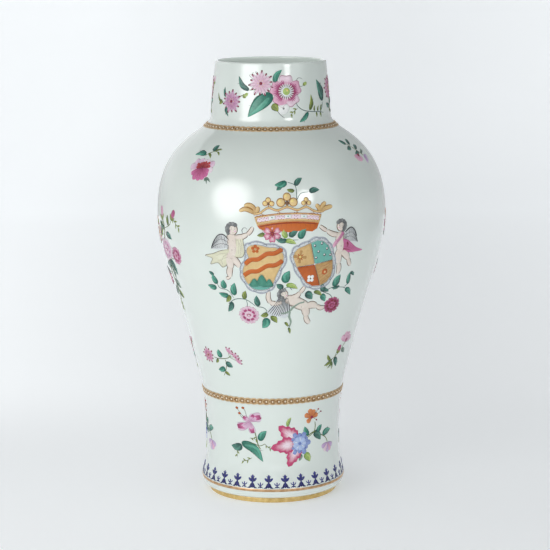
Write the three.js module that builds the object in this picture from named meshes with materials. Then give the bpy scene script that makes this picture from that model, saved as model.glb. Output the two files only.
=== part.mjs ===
// A baluster vase of hard-paste porcelain: waisted foot, long ovoid belly, round shoulder and tapering neck.
//
// The wall is thrown in sections on the wheel, and the sections are luted together with slip at flat joints.
// Here each section is a closed solid of revolution, and neighbours meet face to face at those joints.
// The gilding is laid on as thin raised rings. Millimetres, +Z up, origin on the axis at the standing plane.

import * as THREE from 'three';

// Heights above the standing plane.
const HEIGHT = 360;
const FOOT_JOINT = 14; // foot ring to waisted section
const WAIST = 44; // slimmest point above the foot
const SKIRT_JOINT = 87; // waisted section to belly
const MIDDLE = 160; // turning point of the belly's curve
const BELLY_JOINT = 236; // widest point, belly to shoulder
const SHOULDER_TOP = 303; // the shoulder turns up into the neck
const NECK_JOINT = 308; // shoulder to neck
const NECK_FOOT = 316; // the neck's straight taper starts

// Outer radii.
const FOOT_RADIUS = 59.6;
const FOOT_BAND_RADIUS = 53.2;
const WAIST_RADIUS = 55.6;
const SKIRT_RADIUS = 58.5;
const MIDDLE_RADIUS = 77.3;
const BELLY_RADIUS = 94.2;
const SHOULDER_RADIUS = 60.4;
const NECK_FOOT_RADIUS = 49.1;
const LIP_RADIUS = 45.6;

// The wall gets thinner from the foot to the lip.
const WALL_AT_FOOT = 7;
const WALL_AT_LIP = 2.8;

// Turned details of the foot ring.
const CONTACT_INNER_RADIUS = 45.5; // the flat ring that the vase stands on
const CONTACT_OUTER_RADIUS = 52;
const RECESS_HEIGHT = 8; // hollow under the floor
const MOULDING_FOOT = 4.6; // underside of the quarter-round moulding
const MOULDING_TOP = 10.6;

// Gilding: the lower and upper edge of each raised ring, and how far it stands proud.
const GILDING = 0.4;
const NECK_BAND = [305.4, 310.8];
const SKIRT_BAND = [84.4, 89.4];
const FOOT_LINE = [11.2, 13.5];
const FOOT_BAND = [0.4, 4.2];

// Facets: round the axis, and along a round detail of the profile.
const SEGMENTS = 48;
const ROUND_STEPS = 4;

const porcelain = { color: 0xd3ddd8, roughness: 0.12, metalness: 0 };
const gilt = { color: 0xa9772e, roughness: 0.35, metalness: 1 };

const at = (radius, height) => new THREE.Vector2(radius, height);

// One stretch of the outer surface, cut into a number of facets: a start point, two handles and an end point,
// each of them a radius and a height.
function stretch(steps, ...points) {
  return new THREE.CubicBezierCurve(...points.map(([radius, height]) => at(radius, height))).getPoints(steps);
}

// A point on a circle of the profile, its angle counted from straight outwards.
function roundPoint(centre, radius, angle) {
  return at(centre.x + radius * Math.cos(angle), centre.y + radius * Math.sin(angle));
}

// A round stretch of the profile, both ends included.
function arc(centre, radius, from, to) {
  const points = [];
  for (let i = 0; i <= ROUND_STEPS; i += 1) {
    points.push(roundPoint(centre, radius, from + ((to - from) * i) / ROUND_STEPS));
  }
  return points;
}

// Where a rising profile passes a height: on the straight facet between two of its points.
function pointAtHeight(profile, height) {
  const above = profile.findIndex((point) => point.y >= height);
  const [low, high] = [profile[above - 1], profile[above]];
  return low.clone().lerp(high, (height - low.y) / (high.y - low.y));
}

// The same profile with a point of its own at each of the heights.
function withStations(profile, heights) {
  const missing = heights.filter((height) => !profile.some((point) => point.y === height));
  const stations = missing.map((height) => pointAtHeight(profile, height));
  return [...profile, ...stations].sort((a, b) => a.y - b.y);
}

// The part of a profile between two of its stations.
const between = (profile, low, high) => profile.filter((point) => point.y >= low && point.y <= high);

// The profile moved sideways along its own normals; a positive distance goes outwards.
function offset(profile, distanceAt) {
  return profile.map((point, i) => {
    const before = profile[Math.max(i - 1, 0)];
    const after = profile[Math.min(i + 1, profile.length - 1)];
    const along = after.clone().sub(before).normalize();
    const distance = distanceAt(point.y);
    return at(point.x + along.y * distance, point.y - along.x * distance);
  });
}

// The outer surface of the wall, from the foot joint to the lip's rounding.
const lipRound = WALL_AT_LIP / 2;
const wallTop = HEIGHT - lipRound;
const outerCurves = [
  stretch(3, [FOOT_RADIUS, FOOT_JOINT], [57.2, 24], [WAIST_RADIUS, 33], [WAIST_RADIUS, WAIST]),
  stretch(3, [WAIST_RADIUS, WAIST], [WAIST_RADIUS, 60], [56.6, 76], [SKIRT_RADIUS, SKIRT_JOINT]),
  stretch(3, [SKIRT_RADIUS, SKIRT_JOINT], [62.8, 107], [69.9, 135], [MIDDLE_RADIUS, MIDDLE]),
  stretch(5, [MIDDLE_RADIUS, MIDDLE], [84.7, 185], [BELLY_RADIUS, 209], [BELLY_RADIUS, BELLY_JOINT]),
  stretch(8, [BELLY_RADIUS, BELLY_JOINT], [BELLY_RADIUS, 271], [80.7, 289.6], [SHOULDER_RADIUS, SHOULDER_TOP]),
  stretch(3, [SHOULDER_RADIUS, SHOULDER_TOP], [54.2, 307.1], [49.5, 310.4], [NECK_FOOT_RADIUS, NECK_FOOT]),
  stretch(2, [NECK_FOOT_RADIUS, NECK_FOOT], [48.5, 328], [46.6, 345], [LIP_RADIUS, wallTop]),
];
const joints = [FOOT_JOINT, SKIRT_JOINT, BELLY_JOINT, NECK_JOINT];
const outer = withStations(
  outerCurves.flatMap((curve, i) => (i ? curve.slice(1) : curve)),
  [...joints, ...NECK_BAND, ...SKIRT_BAND],
);

// The inner surface follows it at the wall's thickness, and ends level with the outer one.
const wallAt = (height) => THREE.MathUtils.mapLinear(height, FOOT_JOINT, wallTop, WALL_AT_FOOT, WALL_AT_LIP);
const floorRadius = FOOT_RADIUS - WALL_AT_FOOT;
const innerEnds = [at(floorRadius, FOOT_JOINT), at(LIP_RADIUS - WALL_AT_LIP, wallTop)];
const innerMiddle = offset(outer, (height) => -wallAt(height)).slice(1, -1);
const innerInside = innerMiddle.filter((point) => point.y > FOOT_JOINT + 1 && point.y < wallTop - 1);
const inner = withStations([innerEnds[0], ...innerInside, innerEnds[1]], joints);

// A solid of revolution. The profile runs up the outside and down the inside; it is closed here.
function turned(name, finish, profile) {
  const closed = profile[0].x === 0 ? profile : [...profile, profile[0]];
  const mesh = new THREE.Mesh(
    new THREE.LatheGeometry(closed, SEGMENTS),
    new THREE.MeshStandardMaterial(finish),
  );
  mesh.name = name;
  mesh.rotation.x = Math.PI / 2;
  return mesh;
}

// A section of the wall between two joints.
function wallSection(name, low, high, top = []) {
  const inside = between(inner, low, high).reverse();
  return turned(name, porcelain, [...between(outer, low, high), ...top, ...inside]);
}

// A raised gilt ring on a stretch of surface, its underside lying on the porcelain.
function giltRing(name, seat) {
  const face = offset(seat, () => GILDING);
  return turned(name, gilt, [...face, ...[...seat].reverse()]);
}

// The foot ring: contact face, gilded step, quarter-round moulding, and the rebate for the floor.
const footLineSeat = FOOT_LINE.map((height) => at(FOOT_RADIUS, height));
const footBandSeat = FOOT_BAND.map((height) => at(FOOT_BAND_RADIUS, height));

function footRing() {
  const mouldingCentre = at(FOOT_RADIUS - (MOULDING_TOP - MOULDING_FOOT), MOULDING_TOP);
  return turned('foot_ring', porcelain, [
    at(CONTACT_OUTER_RADIUS, 0),
    ...footBandSeat,
    ...arc(mouldingCentre, MOULDING_TOP - MOULDING_FOOT, -Math.PI / 2, 0),
    ...footLineSeat,
    at(FOOT_RADIUS, FOOT_JOINT),
    at(floorRadius, FOOT_JOINT),
    at(floorRadius, RECESS_HEIGHT),
    at(CONTACT_INNER_RADIUS, RECESS_HEIGHT),
    at(CONTACT_INNER_RADIUS, 0),
  ]);
}

// The floor: a disc luted into the foot ring's rebate.
function floorDisc() {
  return turned('floor_disc', porcelain, [
    at(0, RECESS_HEIGHT),
    at(CONTACT_INNER_RADIUS, RECESS_HEIGHT),
    at(floorRadius, RECESS_HEIGHT),
    at(floorRadius, FOOT_JOINT),
    at(0, FOOT_JOINT),
  ]);
}

// The neck ends in a lip that is a half round as wide as the wall.
function neck() {
  const lip = arc(at(LIP_RADIUS - lipRound, wallTop), lipRound, 0, Math.PI);
  return wallSection('neck', NECK_JOINT, wallTop, lip.slice(1, -1));
}

const vase = new THREE.Group();
vase.add(
  footRing(),
  floorDisc(),
  wallSection('waisted_section', FOOT_JOINT, SKIRT_JOINT),
  wallSection('belly', SKIRT_JOINT, BELLY_JOINT),
  wallSection('shoulder', BELLY_JOINT, NECK_JOINT),
  neck(),
  giltRing('neck_gilt_band', between(outer, ...NECK_BAND)),
  giltRing('skirt_gilt_band', between(outer, ...SKIRT_BAND)),
  giltRing('foot_gilt_line', footLineSeat),
  giltRing('foot_gilt_band', footBandSeat),
);

export default vase;
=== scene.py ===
import math

import bpy
import numpy as np
from mathutils import Matrix, Vector


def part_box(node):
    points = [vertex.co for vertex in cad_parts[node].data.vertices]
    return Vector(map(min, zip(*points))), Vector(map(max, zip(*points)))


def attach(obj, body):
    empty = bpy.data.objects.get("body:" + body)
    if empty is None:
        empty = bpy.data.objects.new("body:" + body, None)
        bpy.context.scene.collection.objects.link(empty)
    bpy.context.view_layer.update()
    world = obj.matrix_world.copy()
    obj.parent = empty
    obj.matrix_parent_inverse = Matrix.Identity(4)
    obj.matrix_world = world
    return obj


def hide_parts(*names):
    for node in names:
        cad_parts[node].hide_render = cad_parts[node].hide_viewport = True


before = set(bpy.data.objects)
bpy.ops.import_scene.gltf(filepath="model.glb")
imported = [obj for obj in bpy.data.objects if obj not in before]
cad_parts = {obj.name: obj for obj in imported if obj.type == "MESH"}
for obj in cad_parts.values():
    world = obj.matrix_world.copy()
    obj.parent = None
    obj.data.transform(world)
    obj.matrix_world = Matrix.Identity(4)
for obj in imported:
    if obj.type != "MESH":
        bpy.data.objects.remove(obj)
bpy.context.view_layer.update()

MM = 0.001  # the scene is in metres, and the sizes below are in millimetres

# --------------------------------------------------------------------------------------- the CAD frame


def heights(node_name):
    """A CAD node's lowest and highest point, in millimetres above the ground."""
    return [corner.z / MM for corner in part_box(node_name)]


WALL_AT_FOOT = 7
WALL_AT_LIP = 2.8
LIP_CENTRE = heights("neck")[1] - WALL_AT_LIP / 2
FOOT_JOINT = heights("waisted_section")[0]
SKIRT_JOINT = heights("belly")[0]
BELLY_JOINT = heights("shoulder")[0]
NECK_JOINT = heights("neck")[0]

# ----------------------------------------------------------------------------- camera, floor and light


def add(name, data):
    """Puts a new object into the scene."""
    thing = bpy.data.objects.new(name, data)
    bpy.context.scene.collection.objects.link(thing)
    return thing


def make_camera():
    """A long lens at a little above the vase's height, looking slightly down."""
    camera = add("camera", bpy.data.cameras.new("camera"))
    camera.data.sensor_width = 36
    camera.data.lens = 127.6
    camera.data.shift_x = 0.0057
    looking_down, leaning = 9.945, -0.36
    pitch = Matrix.Rotation(math.radians(90 - looking_down), 4, "X")
    roll = Matrix.Rotation(math.radians(leaning), 4, "Z")
    camera.matrix_world = Matrix.Translation((0, -1.6, 0.4617)) @ pitch @ roll
    bpy.context.scene.camera = camera


class Finish:
    """A material and its nodes. Inputs go by name: a socket is linked, anything else is a constant."""

    def __init__(self, name, inputs):
        self.material = bpy.data.materials.new(name)
        self.material.use_nodes = True
        self.tree = self.material.node_tree
        self.shade(inputs)

    def shade(self, inputs):
        """Sets inputs of the surface shader itself."""
        self.feed(self.tree.nodes["Principled BSDF"], inputs)

    def feed(self, node, inputs):
        for key, value in inputs.items():
            if isinstance(value, bpy.types.NodeSocket):
                self.tree.links.new(value, node.inputs[key])
            else:
                node.inputs[key].default_value = value

    def node(self, kind, inputs=None, output=0, **settings):
        """Adds a node and gives one of its outputs."""
        made = self.tree.nodes.new("ShaderNode" + kind)
        for key, value in settings.items():
            setattr(made, key, value)
        self.feed(made, inputs or {})
        return made.outputs[output]

    def place(self):
        return self.node("TexCoord", output="Object")

    def axes(self):
        """The place's three coordinates."""
        split = self.node("SeparateXYZ", {"Vector": self.place()}).node
        return split.outputs

    def noise(self, scale, detail=2.0):
        return self.node("TexNoise", {"Vector": self.place(), "Scale": scale, "Detail": detail})

    def math(self, operation, *values, clamp=False):
        return self.node("Math", dict(enumerate(values)), operation=operation, use_clamp=clamp)

    def ramp(self, value, low, high, start=0.0, end=1.0, smooth=False):
        """Goes from start to end while the value goes from low to high."""
        ends = {"From Min": low, "From Max": high, "To Min": start, "To Max": end}
        way = "SMOOTHSTEP" if smooth else "LINEAR"
        return self.node("MapRange", {"Value": value, **ends}, interpolation_type=way)

    def mix(self, factor, a, b):
        return self.node("Mix", {"Factor": factor, "A": a, "B": b}, "Result", data_type="RGBA")

    def bump(self, height, strength, distance):
        """Makes the surface look uneven."""
        inputs = {"Height": height, "Strength": strength, "Distance": distance}
        self.shade({"Normal": self.node("Bump", inputs)})


DAYLIGHT = (0.96, 0.99, 1.0, 1)
BLACK = (0, 0, 0, 1)
FLOOR_LIGHT = 0.55  # how bright the floor looks beside the vase


def stage_mesh(name, verts, faces, finish):
    mesh = bpy.data.meshes.new(name)
    mesh.from_pydata(verts, [], faces)
    mesh.materials.append(finish.material)
    prop = add(name, mesh)
    return prop


def make_floor(dim, bright):
    """A pale round floor that curves up into a low wall all round, so that no view sees its edge.

    The paper behind the vase glows a little, more on the left.
    """
    turn, reach, wall_top, steps = 0.6, 1.7, 1.5, 96
    cove = [(reach + turn * math.sin(a), turn - turn * math.cos(a)) for a in np.linspace(0, math.pi / 2, 17)]
    outline = [(0, 0), (0.4, 0), (1.0, 0), *cove, (reach + turn, wall_top)]
    n = len(outline)
    verts, faces = [], []
    for k in range(steps):
        angle = 2 * math.pi * k / steps
        verts += [(r * math.sin(angle), -r * math.cos(angle), z) for r, z in outline]
        here, there = k * n, (k + 1) % steps * n
        faces += [(here + i, there + i, there + i + 1, here + i + 1) for i in range(n - 1)]
    paper = Finish("floor_paper", {"Roughness": 0.85, "Base Color": (0.93, 0.94, 0.955, 1)})
    x, y, _ = paper.axes()
    fan = paper.math("DIVIDE", x, paper.math("ADD", y, 3.0))
    left = paper.ramp(fan, -0.09, 0.02, 1.0, 0.0)
    right = paper.ramp(fan, 0.05, 0.10, 0.0, 0.35)
    far = paper.ramp(y, 1.8, 2.05, 0.0, 0.25)
    spread = paper.math("ADD", paper.math("ADD", left, right), far, clamp=True)
    behind = paper.ramp(y, 0.08, 0.4, 0.16, 1.0, smooth=True)
    shine = paper.ramp(paper.math("MULTIPLY", behind, spread), 0.0, 1.0, dim, bright)
    inside = paper.ramp(paper.math("ABSOLUTE", fan), 0.15, 0.30, 1.0, 0.0)
    paper.shade({"Emission Strength": paper.math("MULTIPLY", shine, inside), "Emission Color": DAYLIGHT})
    stage_mesh("studio_floor", verts, faces, paper).data.shade_smooth()


def aim(lamp, azimuth, elevation, distance, height=0.25):
    """Puts a lamp round the vase, facing it. Azimuth is from the front, positive to the right."""
    side, up = math.radians(azimuth), math.radians(elevation)
    away = Vector((math.sin(side) * math.cos(up), -math.cos(side) * math.cos(up), math.sin(up)))
    lamp.location = Vector((0, 0, height)) + away * distance
    lamp.rotation_euler = away.to_track_quat("Z", "Y").to_euler()


def softbox(name, azimuth, elevation, distance, width, height, power, height_aimed=0.25):
    """An area light aimed at the vase, which doesn't show in the glaze."""
    light = bpy.data.lights.new(name, "AREA")
    light.shape = "RECTANGLE"
    light.size = width
    light.size_y = height
    light.energy = power
    lamp = add(name, light)
    aim(lamp, azimuth, elevation, distance, height_aimed)
    lamp.visible_camera = False
    lamp.visible_glossy = False


def octabox(name, azimuth, elevation, distance, radius, strength, edge=0.35, diffuse=True, glossy=True):
    """An eight-sided softbox, brightest in the middle; edge is how bright it still is at its rim.

    It can light only the matt part of what it shines on, or show only as a reflection.
    """
    angles = [math.pi * (k + 0.5) / 4 for k in range(8)]
    corners = [(radius * math.cos(a), radius * math.sin(a), 0) for a in angles]
    cloth = Finish(name + "_cloth", {"Base Color": BLACK, "Emission Color": (1, 1, 1, 1)})
    out = cloth.node("VectorMath", {0: cloth.place()}, "Value", operation="LENGTH")
    fall = cloth.ramp(out, radius * 0.4, radius, strength, edge * strength, smooth=True)
    cloth.shade({"Emission Strength": fall})
    lamp = stage_mesh(name, corners, [tuple(range(8))], cloth)
    aim(lamp, azimuth, elevation, distance)
    lamp.visible_camera = False
    lamp.visible_diffuse = diffuse
    lamp.visible_glossy = glossy
    lamp.visible_shadow = False


def flag(name, start, end, front, back):
    """A dimly glowing standing sheet round one side of the vase, seen only mirrored in the glaze.

    It runs between two angles from the front and glows brighter towards the back. Its near edge and its foot
    glow as bright as the floor, so that neither of them shows as a step.
    """
    distance, top, steps = 1.6, 1.5, 24
    verts = []
    for angle in np.radians(np.linspace(start, end, steps + 1)):
        verts += [(distance * math.sin(angle), -distance * math.cos(angle), z) for z in (0.0, top)]
    faces = [(2 * k, 2 * k + 2, 2 * k + 3, 2 * k + 1) for k in range(steps)]
    # The sheet is black and only glows: its brightness is emission that the glaze reflects, not a colour of
    # its own.
    cloth = Finish(name + "_cloth", {"Roughness": 0.9, "Base Color": BLACK, "Emission Color": DAYLIGHT})
    _, y, z = cloth.axes()
    near_edge = min(verts[0][1], verts[-1][1])
    opening = cloth.ramp(y, near_edge, near_edge + 0.5, FLOOR_LIGHT, front)
    closing = cloth.ramp(y, -0.6, 1.5, front, back)
    level = cloth.math("MAXIMUM", opening, closing)
    cloth.shade({"Emission Strength": cloth.ramp(z, 0.0, 0.5, FLOOR_LIGHT, level, smooth=True)})
    prop = stage_mesh(name, verts, faces, cloth)
    prop.visible_camera = False
    prop.visible_diffuse = False
    prop.visible_shadow = False


def make_world(strength):
    """Even daylight from all round."""
    world = bpy.data.worlds.new("studio")
    bpy.context.scene.world = world
    world.use_nodes = True
    background = world.node_tree.nodes["Background"]
    background.inputs["Color"].default_value = DAYLIGHT
    background.inputs["Strength"].default_value = strength


def make_lights():
    make_world(0.39)
    flag("right_flag", 58, 172, 0.08, 0.46)
    flag("left_flag", -172, -75, 0.24, 0.90)
    octabox("key_octabox", -40, 13, 1.5, 0.66, 2.15, glossy=False)
    octabox("key_front", -40, 13.6, 0.85, 0.41, 2.9, edge=0.2, diffuse=False)
    octabox("right_octabox", 34, 15, 1.5, 0.30, 4.0, edge=0.0, diffuse=False)
    softbox("front_fill", 0, 5, 1.9, 1.0, 0.9, 4.5)
    softbox("low_fill", -6, 2, 1.0, 1.0, 0.12, 1.1, height_aimed=0.07)
    softbox("left_rim", -115, 0, 1.5, 1.0, 0.6, 3, height_aimed=0.15)
    softbox("overhead", 0, 89, 1.5, 1.0, 1.0, 1.0)
    softbox("mouth_light", 0, 89, 0.16, 0.04, 0.04, 0.017)


make_camera()
make_floor(0.20, 0.37)
make_lights()
bpy.context.scene.view_settings.view_transform = "Standard"

# ----------------------------------------------------------------------------- the outline of the vase

# The outline of part.mjs, as (radius, height): each stretch has a start, two handles and an end.
OUTLINE = [
    ((59.6, FOOT_JOINT), (57.2, 24), (55.6, 33), (55.6, 44)),
    ((55.6, 44), (55.6, 60), (56.6, 76), (58.5, SKIRT_JOINT)),
    ((58.5, SKIRT_JOINT), (62.8, 107), (69.9, 135), (77.3, 160)),
    ((77.3, 160), (84.7, 185), (94.2, 209), (94.2, BELLY_JOINT)),
    ((94.2, BELLY_JOINT), (94.2, 271), (80.7, 289.6), (60.4, 303)),
    ((60.4, 303), (54.2, 307.1), (49.5, 310.4), (49.1, 316)),
    ((49.1, 316), (48.5, 328), (46.6, 345), (45.6, LIP_CENTRE)),
]
FOOT_RADIUS = OUTLINE[0][0][0]
FOOT_BAND_RADIUS = 53.2

# The standing ring and the hollow under the floor, also as in part.mjs.
CONTACT_OUTER_RADIUS = 52
CONTACT_INNER_RADIUS = 45.5
RECESS_HEIGHT = 8
FOOT_BAND_BOTTOM, FOOT_BAND_TOP = 0.4, 4.2
MOULDING_FOOT, MOULDING_TOP = 4.6, 10.6
FLOOR_RADIUS = FOOT_RADIUS - WALL_AT_FOOT


def sampled_outline(steps=60):
    """Points along the outline, which is a chain of cubic curves."""
    t = np.linspace(0, 1, steps + 1)[1:, None]
    k = 1 - t
    points = [np.array([OUTLINE[0][0]])]
    for a, b, c, d in np.array(OUTLINE):
        points.append(k**3 * a + 3 * k * k * t * b + 3 * k * t * t * c + t**3 * d)
    return np.concatenate(points)


class Skin:
    """The porcelain's outer surface, addressed by the angle from the front and the length up the outline."""

    def __init__(self):
        self.points = sampled_outline()
        steps = np.hypot(*np.diff(self.points, axis=0).T)
        self.lengths = np.concatenate([[0], np.cumsum(steps)])
        slope = np.gradient(self.points, self.lengths, axis=0)
        slope /= np.hypot(*slope.T)[:, None]
        self.normals = np.stack([slope[:, 1], -slope[:, 0]], 1)

    def length_at(self, height):
        return np.interp(height, self.points[:, 1], self.lengths)

    def across(self, length, lift=0.0):
        """Radius and height of the surface, raised by lift along its normal."""
        columns = (*self.points.T, *self.normals.T)
        radius, height, outward, upward = [np.interp(length, self.lengths, c) for c in columns]
        return radius + outward * lift, height + upward * lift

    def place(self, angle, length, lift=0.0):
        """The points in space, in metres."""
        radius, height = self.across(length, lift)
        return np.stack([radius * np.sin(angle), -radius * np.cos(angle), height], -1) * MM


skin = Skin()

# ------------------------------------------------------------------------------- porcelain and gilding


def glaze_material():
    """Thick pale glaze: faintly clouded and greener in places, a little wavy, with a few specks."""
    glaze = Finish("blue_white_glaze", {"Roughness": 0.07, "IOR": 1.6, "Specular IOR Level": 0.8})
    glaze.shade({"Coat Weight": 1.0, "Coat Roughness": 0.03})
    body = glaze.mix(glaze.noise(14.0, 3.0), (0.685, 0.765, 0.715, 1), (0.755, 0.805, 0.765, 1))
    cells = glaze.node("TexVoronoi", {"Vector": glaze.place(), "Scale": 34.0}, "Distance")
    is_speck = glaze.math("LESS_THAN", cells, 0.045)
    is_kept = glaze.math("GREATER_THAN", glaze.noise(11.0), 0.60)
    specks = glaze.math("MULTIPLY", is_speck, is_kept)
    glaze.shade({"Base Color": glaze.mix(specks, body, (0.30, 0.27, 0.22, 1))})
    glaze.bump(glaze.noise(45.0), 0.05, 0.002)
    return glaze.material


def turned(name, profile, normals, segments=192):
    """A solid of revolution. The facet ring that starts at a profile point has that point's two normals."""
    n = len(profile)
    angles = 2 * math.pi * np.arange(segments) / segments
    radius, height = np.array(profile).T
    columns = (
        np.outer(np.sin(angles), radius), np.outer(-np.cos(angles), radius), np.tile(height, (segments, 1)),
    )
    verts = np.stack(columns, -1).reshape(-1, 3) * MM
    on_axis = [point[0] == 0 for point in profile]
    faces, loops = [], []
    for k in range(segments):
        after = (k + 1) % segments
        for i in range(n):
            j = (i + 1) % n
            if on_axis[i] and on_axis[j]:
                continue
            corners = [(k, i, 0), (after, i, 0), (after, j, 1), (k, j, 1)]
            if on_axis[i]:
                corners = [(k, i, 0), (after, j, 1), (k, j, 1)]
            elif on_axis[j]:
                corners = [(k, i, 0), (after, i, 0), (k, j, 1)]
            faces.append([point if on_axis[point] else turn * n + point for turn, point, _ in corners])
            for turn, _, end in corners:
                out, up = normals[i][end]
                loops.append((out * math.sin(angles[turn]), -out * math.cos(angles[turn]), up))
    mesh = bpy.data.meshes.new(name)
    mesh.from_pydata([tuple(v) for v in verts], [], faces)
    mesh.shade_smooth()
    mesh.normals_split_custom_set(loops)
    return add(name, mesh)


def facets(points, smooth_runs):
    """The two end normals of each facet of a closed profile: its own, or shared ones along a smooth run."""
    own = []
    for (r0, z0), (r1, z1) in zip(points, [*points[1:], points[0]]):
        length = math.hypot(r1 - r0, z1 - z0) or 1
        own.append(((z1 - z0) / length, -(r1 - r0) / length))
    result = [[normal, normal] for normal in own]
    for start, stop in smooth_runs:
        for i in range(start, stop + 1):
            before, after = own[max(i - 1, start)], own[min(i, stop - 1)]
            total = (before[0] + after[0], before[1] + after[1])
            size = math.hypot(*total)
            mean = (total[0] / size, total[1] / size)
            if i < stop:
                result[i][0] = mean
            if i > start:
                result[i - 1][1] = mean
    return result


def arc(radius, height, size, angles):
    """Points of a round stretch of a profile, at angles counted from straight outwards."""
    return [(radius + size * math.cos(a), height + size * math.sin(a)) for a in angles]


def wall_thickness(height):
    """The wall gets thinner from the foot to the lip."""
    share = (height - FOOT_JOINT) / (LIP_CENTRE - FOOT_JOINT)
    return WALL_AT_FOOT + (WALL_AT_LIP - WALL_AT_FOOT) * share


def wall_piece(name, low, high):
    """A section of the wall between two heights, its surfaces continuing those of its neighbours."""
    count = max(8, round((high - low) / 2))
    lengths = np.linspace(skin.length_at(low), skin.length_at(high), count + 1)
    outer = list(zip(*skin.across(lengths)))
    inner = [(r - wall_thickness(z), z) for r, z in outer]
    top = []
    if high == LIP_CENTRE:
        half = WALL_AT_LIP / 2
        top = arc(inner[-1][0] + half, high, half, [math.pi * k / 12 for k in range(1, 12)])
    points = outer + top + inner[::-1]
    m, last = len(outer), len(points) - 1
    runs = [(0, last)] if top else [(0, m - 1), (m, last)]
    return turned(name, points, facets(points, runs))


def foot_ring():
    """The standing ring, the gilded step, the quarter-round moulding and the rebate for the floor."""
    size = MOULDING_TOP - MOULDING_FOOT
    points = [
        (CONTACT_OUTER_RADIUS, 0),
        (FOOT_BAND_RADIUS, FOOT_BAND_BOTTOM),
        (FOOT_BAND_RADIUS, FOOT_BAND_TOP),
        *arc(FOOT_RADIUS - size, MOULDING_TOP, size, np.linspace(-math.pi / 2, 0, 13)),
        (FOOT_RADIUS, FOOT_JOINT),
        (FLOOR_RADIUS, FOOT_JOINT),
        (FLOOR_RADIUS, RECESS_HEIGHT),
        (CONTACT_INNER_RADIUS, RECESS_HEIGHT),
        (CONTACT_INNER_RADIUS, 0),
    ]
    moulding_to_joint = (3, 16)
    return turned("porcelain_foot_ring", points, facets(points, [moulding_to_joint]))


def floor_disc():
    """The floor of the vase, which lies in the foot ring's rebate."""
    points = [
        (0, RECESS_HEIGHT),
        (CONTACT_INNER_RADIUS, RECESS_HEIGHT),
        (FLOOR_RADIUS, RECESS_HEIGHT),
        (FLOOR_RADIUS, FOOT_JOINT),
        (0, FOOT_JOINT),
    ]
    return turned("porcelain_floor_disc", points, facets(points, []))


def finish_piece(piece, material, slot, *nodes):
    """Says what a piece rides on and which CAD nodes it stands for. The slot it is given is not used."""
    if material:
        piece.data.materials.append(material)
    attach(piece, "root")
    if nodes:
        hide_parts(*nodes)


glaze = glaze_material()
finish_piece(foot_ring(), glaze, "glazed_porcelain", "foot_ring")
finish_piece(floor_disc(), glaze, "glazed_porcelain", "floor_disc")
for node_name, low, high in (
    ("waisted_section", FOOT_JOINT, SKIRT_JOINT),
    ("belly", SKIRT_JOINT, BELLY_JOINT),
    ("shoulder", BELLY_JOINT, NECK_JOINT),
    ("neck", NECK_JOINT, LIP_CENTRE),
):
    finish_piece(wall_piece("porcelain_" + node_name, low, high), glaze, "glazed_porcelain", node_name)

# ------------------------------------------------------------------------------------- enamel painting

# Each pigment is a light and a deep tone; a patch's own tone mixes them.
PIGMENTS = {
    "emerald": ((0.11, 0.40, 0.29), (0.008, 0.125, 0.088)),
    "teal": ((0.09, 0.27, 0.21), (0.014, 0.066, 0.056)),
    "olive": ((0.31, 0.38, 0.09), (0.09, 0.135, 0.022)),
    "lime": ((0.52, 0.64, 0.21), (0.22, 0.38, 0.07)),
    "sage": ((0.30, 0.40, 0.32), (0.09, 0.155, 0.12)),
    "pink": ((0.78, 0.48, 0.61), (0.47, 0.14, 0.28)),
    "blush": ((0.80, 0.68, 0.75), (0.64, 0.38, 0.51)),
    "peony": ((0.86, 0.74, 0.80), (0.52, 0.055, 0.16)),
    "lilac": ((0.74, 0.54, 0.68), (0.42, 0.17, 0.33)),
    "magenta": ((0.58, 0.15, 0.33), (0.25, 0.018, 0.08)),
    "mauve": ((0.62, 0.47, 0.68), (0.33, 0.18, 0.42)),
    "crimson": ((0.34, 0.025, 0.06), (0.11, 0.005, 0.018)),
    "ruby": ((0.52, 0.055, 0.06), (0.23, 0.012, 0.022)),
    "iron_red": ((0.56, 0.13, 0.014), (0.27, 0.034, 0.005)),
    "orange": ((0.75, 0.30, 0.11), (0.42, 0.085, 0.012)),
    "yellow": ((0.86, 0.69, 0.25), (0.60, 0.37, 0.08)),
    "gold": ((0.76, 0.56, 0.26), (0.40, 0.20, 0.055)),
    "cream": ((0.76, 0.76, 0.60), (0.50, 0.49, 0.28)),
    "flesh": ((0.77, 0.71, 0.64), (0.64, 0.50, 0.42)),
    "cobalt": ((0.06, 0.07, 0.33), (0.010, 0.012, 0.10)),
    "sky": ((0.42, 0.53, 0.78), (0.12, 0.18, 0.50)),
    "turquoise": ((0.16, 0.45, 0.38), (0.035, 0.22, 0.19)),
    "grey": ((0.38, 0.40, 0.40), (0.12, 0.13, 0.13)),
    "slate": ((0.46, 0.50, 0.56), (0.19, 0.22, 0.28)),
    "white": ((0.84, 0.86, 0.84), (0.62, 0.66, 0.68)),
    "sepia": ((0.17, 0.09, 0.05), (0.045, 0.022, 0.014)),
    "ink": ((0.09, 0.09, 0.10), (0.018, 0.018, 0.022)),
}
SUNK = -0.06  # the edge of every patch lies just under the glaze
pigment_materials = {}


def thickness(level, width):
    """How far a patch stands proud: more for each layer under it, and a little more where it is wide."""
    return 0.13 + 0.09 * level + 0.025 * min(width, 4)


def pigment_material(name):
    """Glossy overglaze enamel whose depth follows the patch's tone and varies with the brushwork."""
    if name not in pigment_materials:
        light, deep = PIGMENTS[name]
        enamel = Finish("enamel_" + name, {"Roughness": 0.16, "IOR": 1.45})
        enamel.shade({"Coat Weight": 0.25, "Coat Roughness": 0.08})
        tone = enamel.node("Attribute", output="Fac", attribute_name="tone")
        wash = enamel.noise(420.0, 3.0)
        depth = enamel.math("ADD", tone, enamel.ramp(wash, 0.0, 1.0, -0.28, 0.28), clamp=True)
        enamel.shade({"Base Color": enamel.mix(depth, (*light, 1), (*deep, 1))})
        enamel.bump(wash, 0.12, 0.0004)
        pigment_materials[name] = enamel.material
    return pigment_materials[name]


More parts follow.
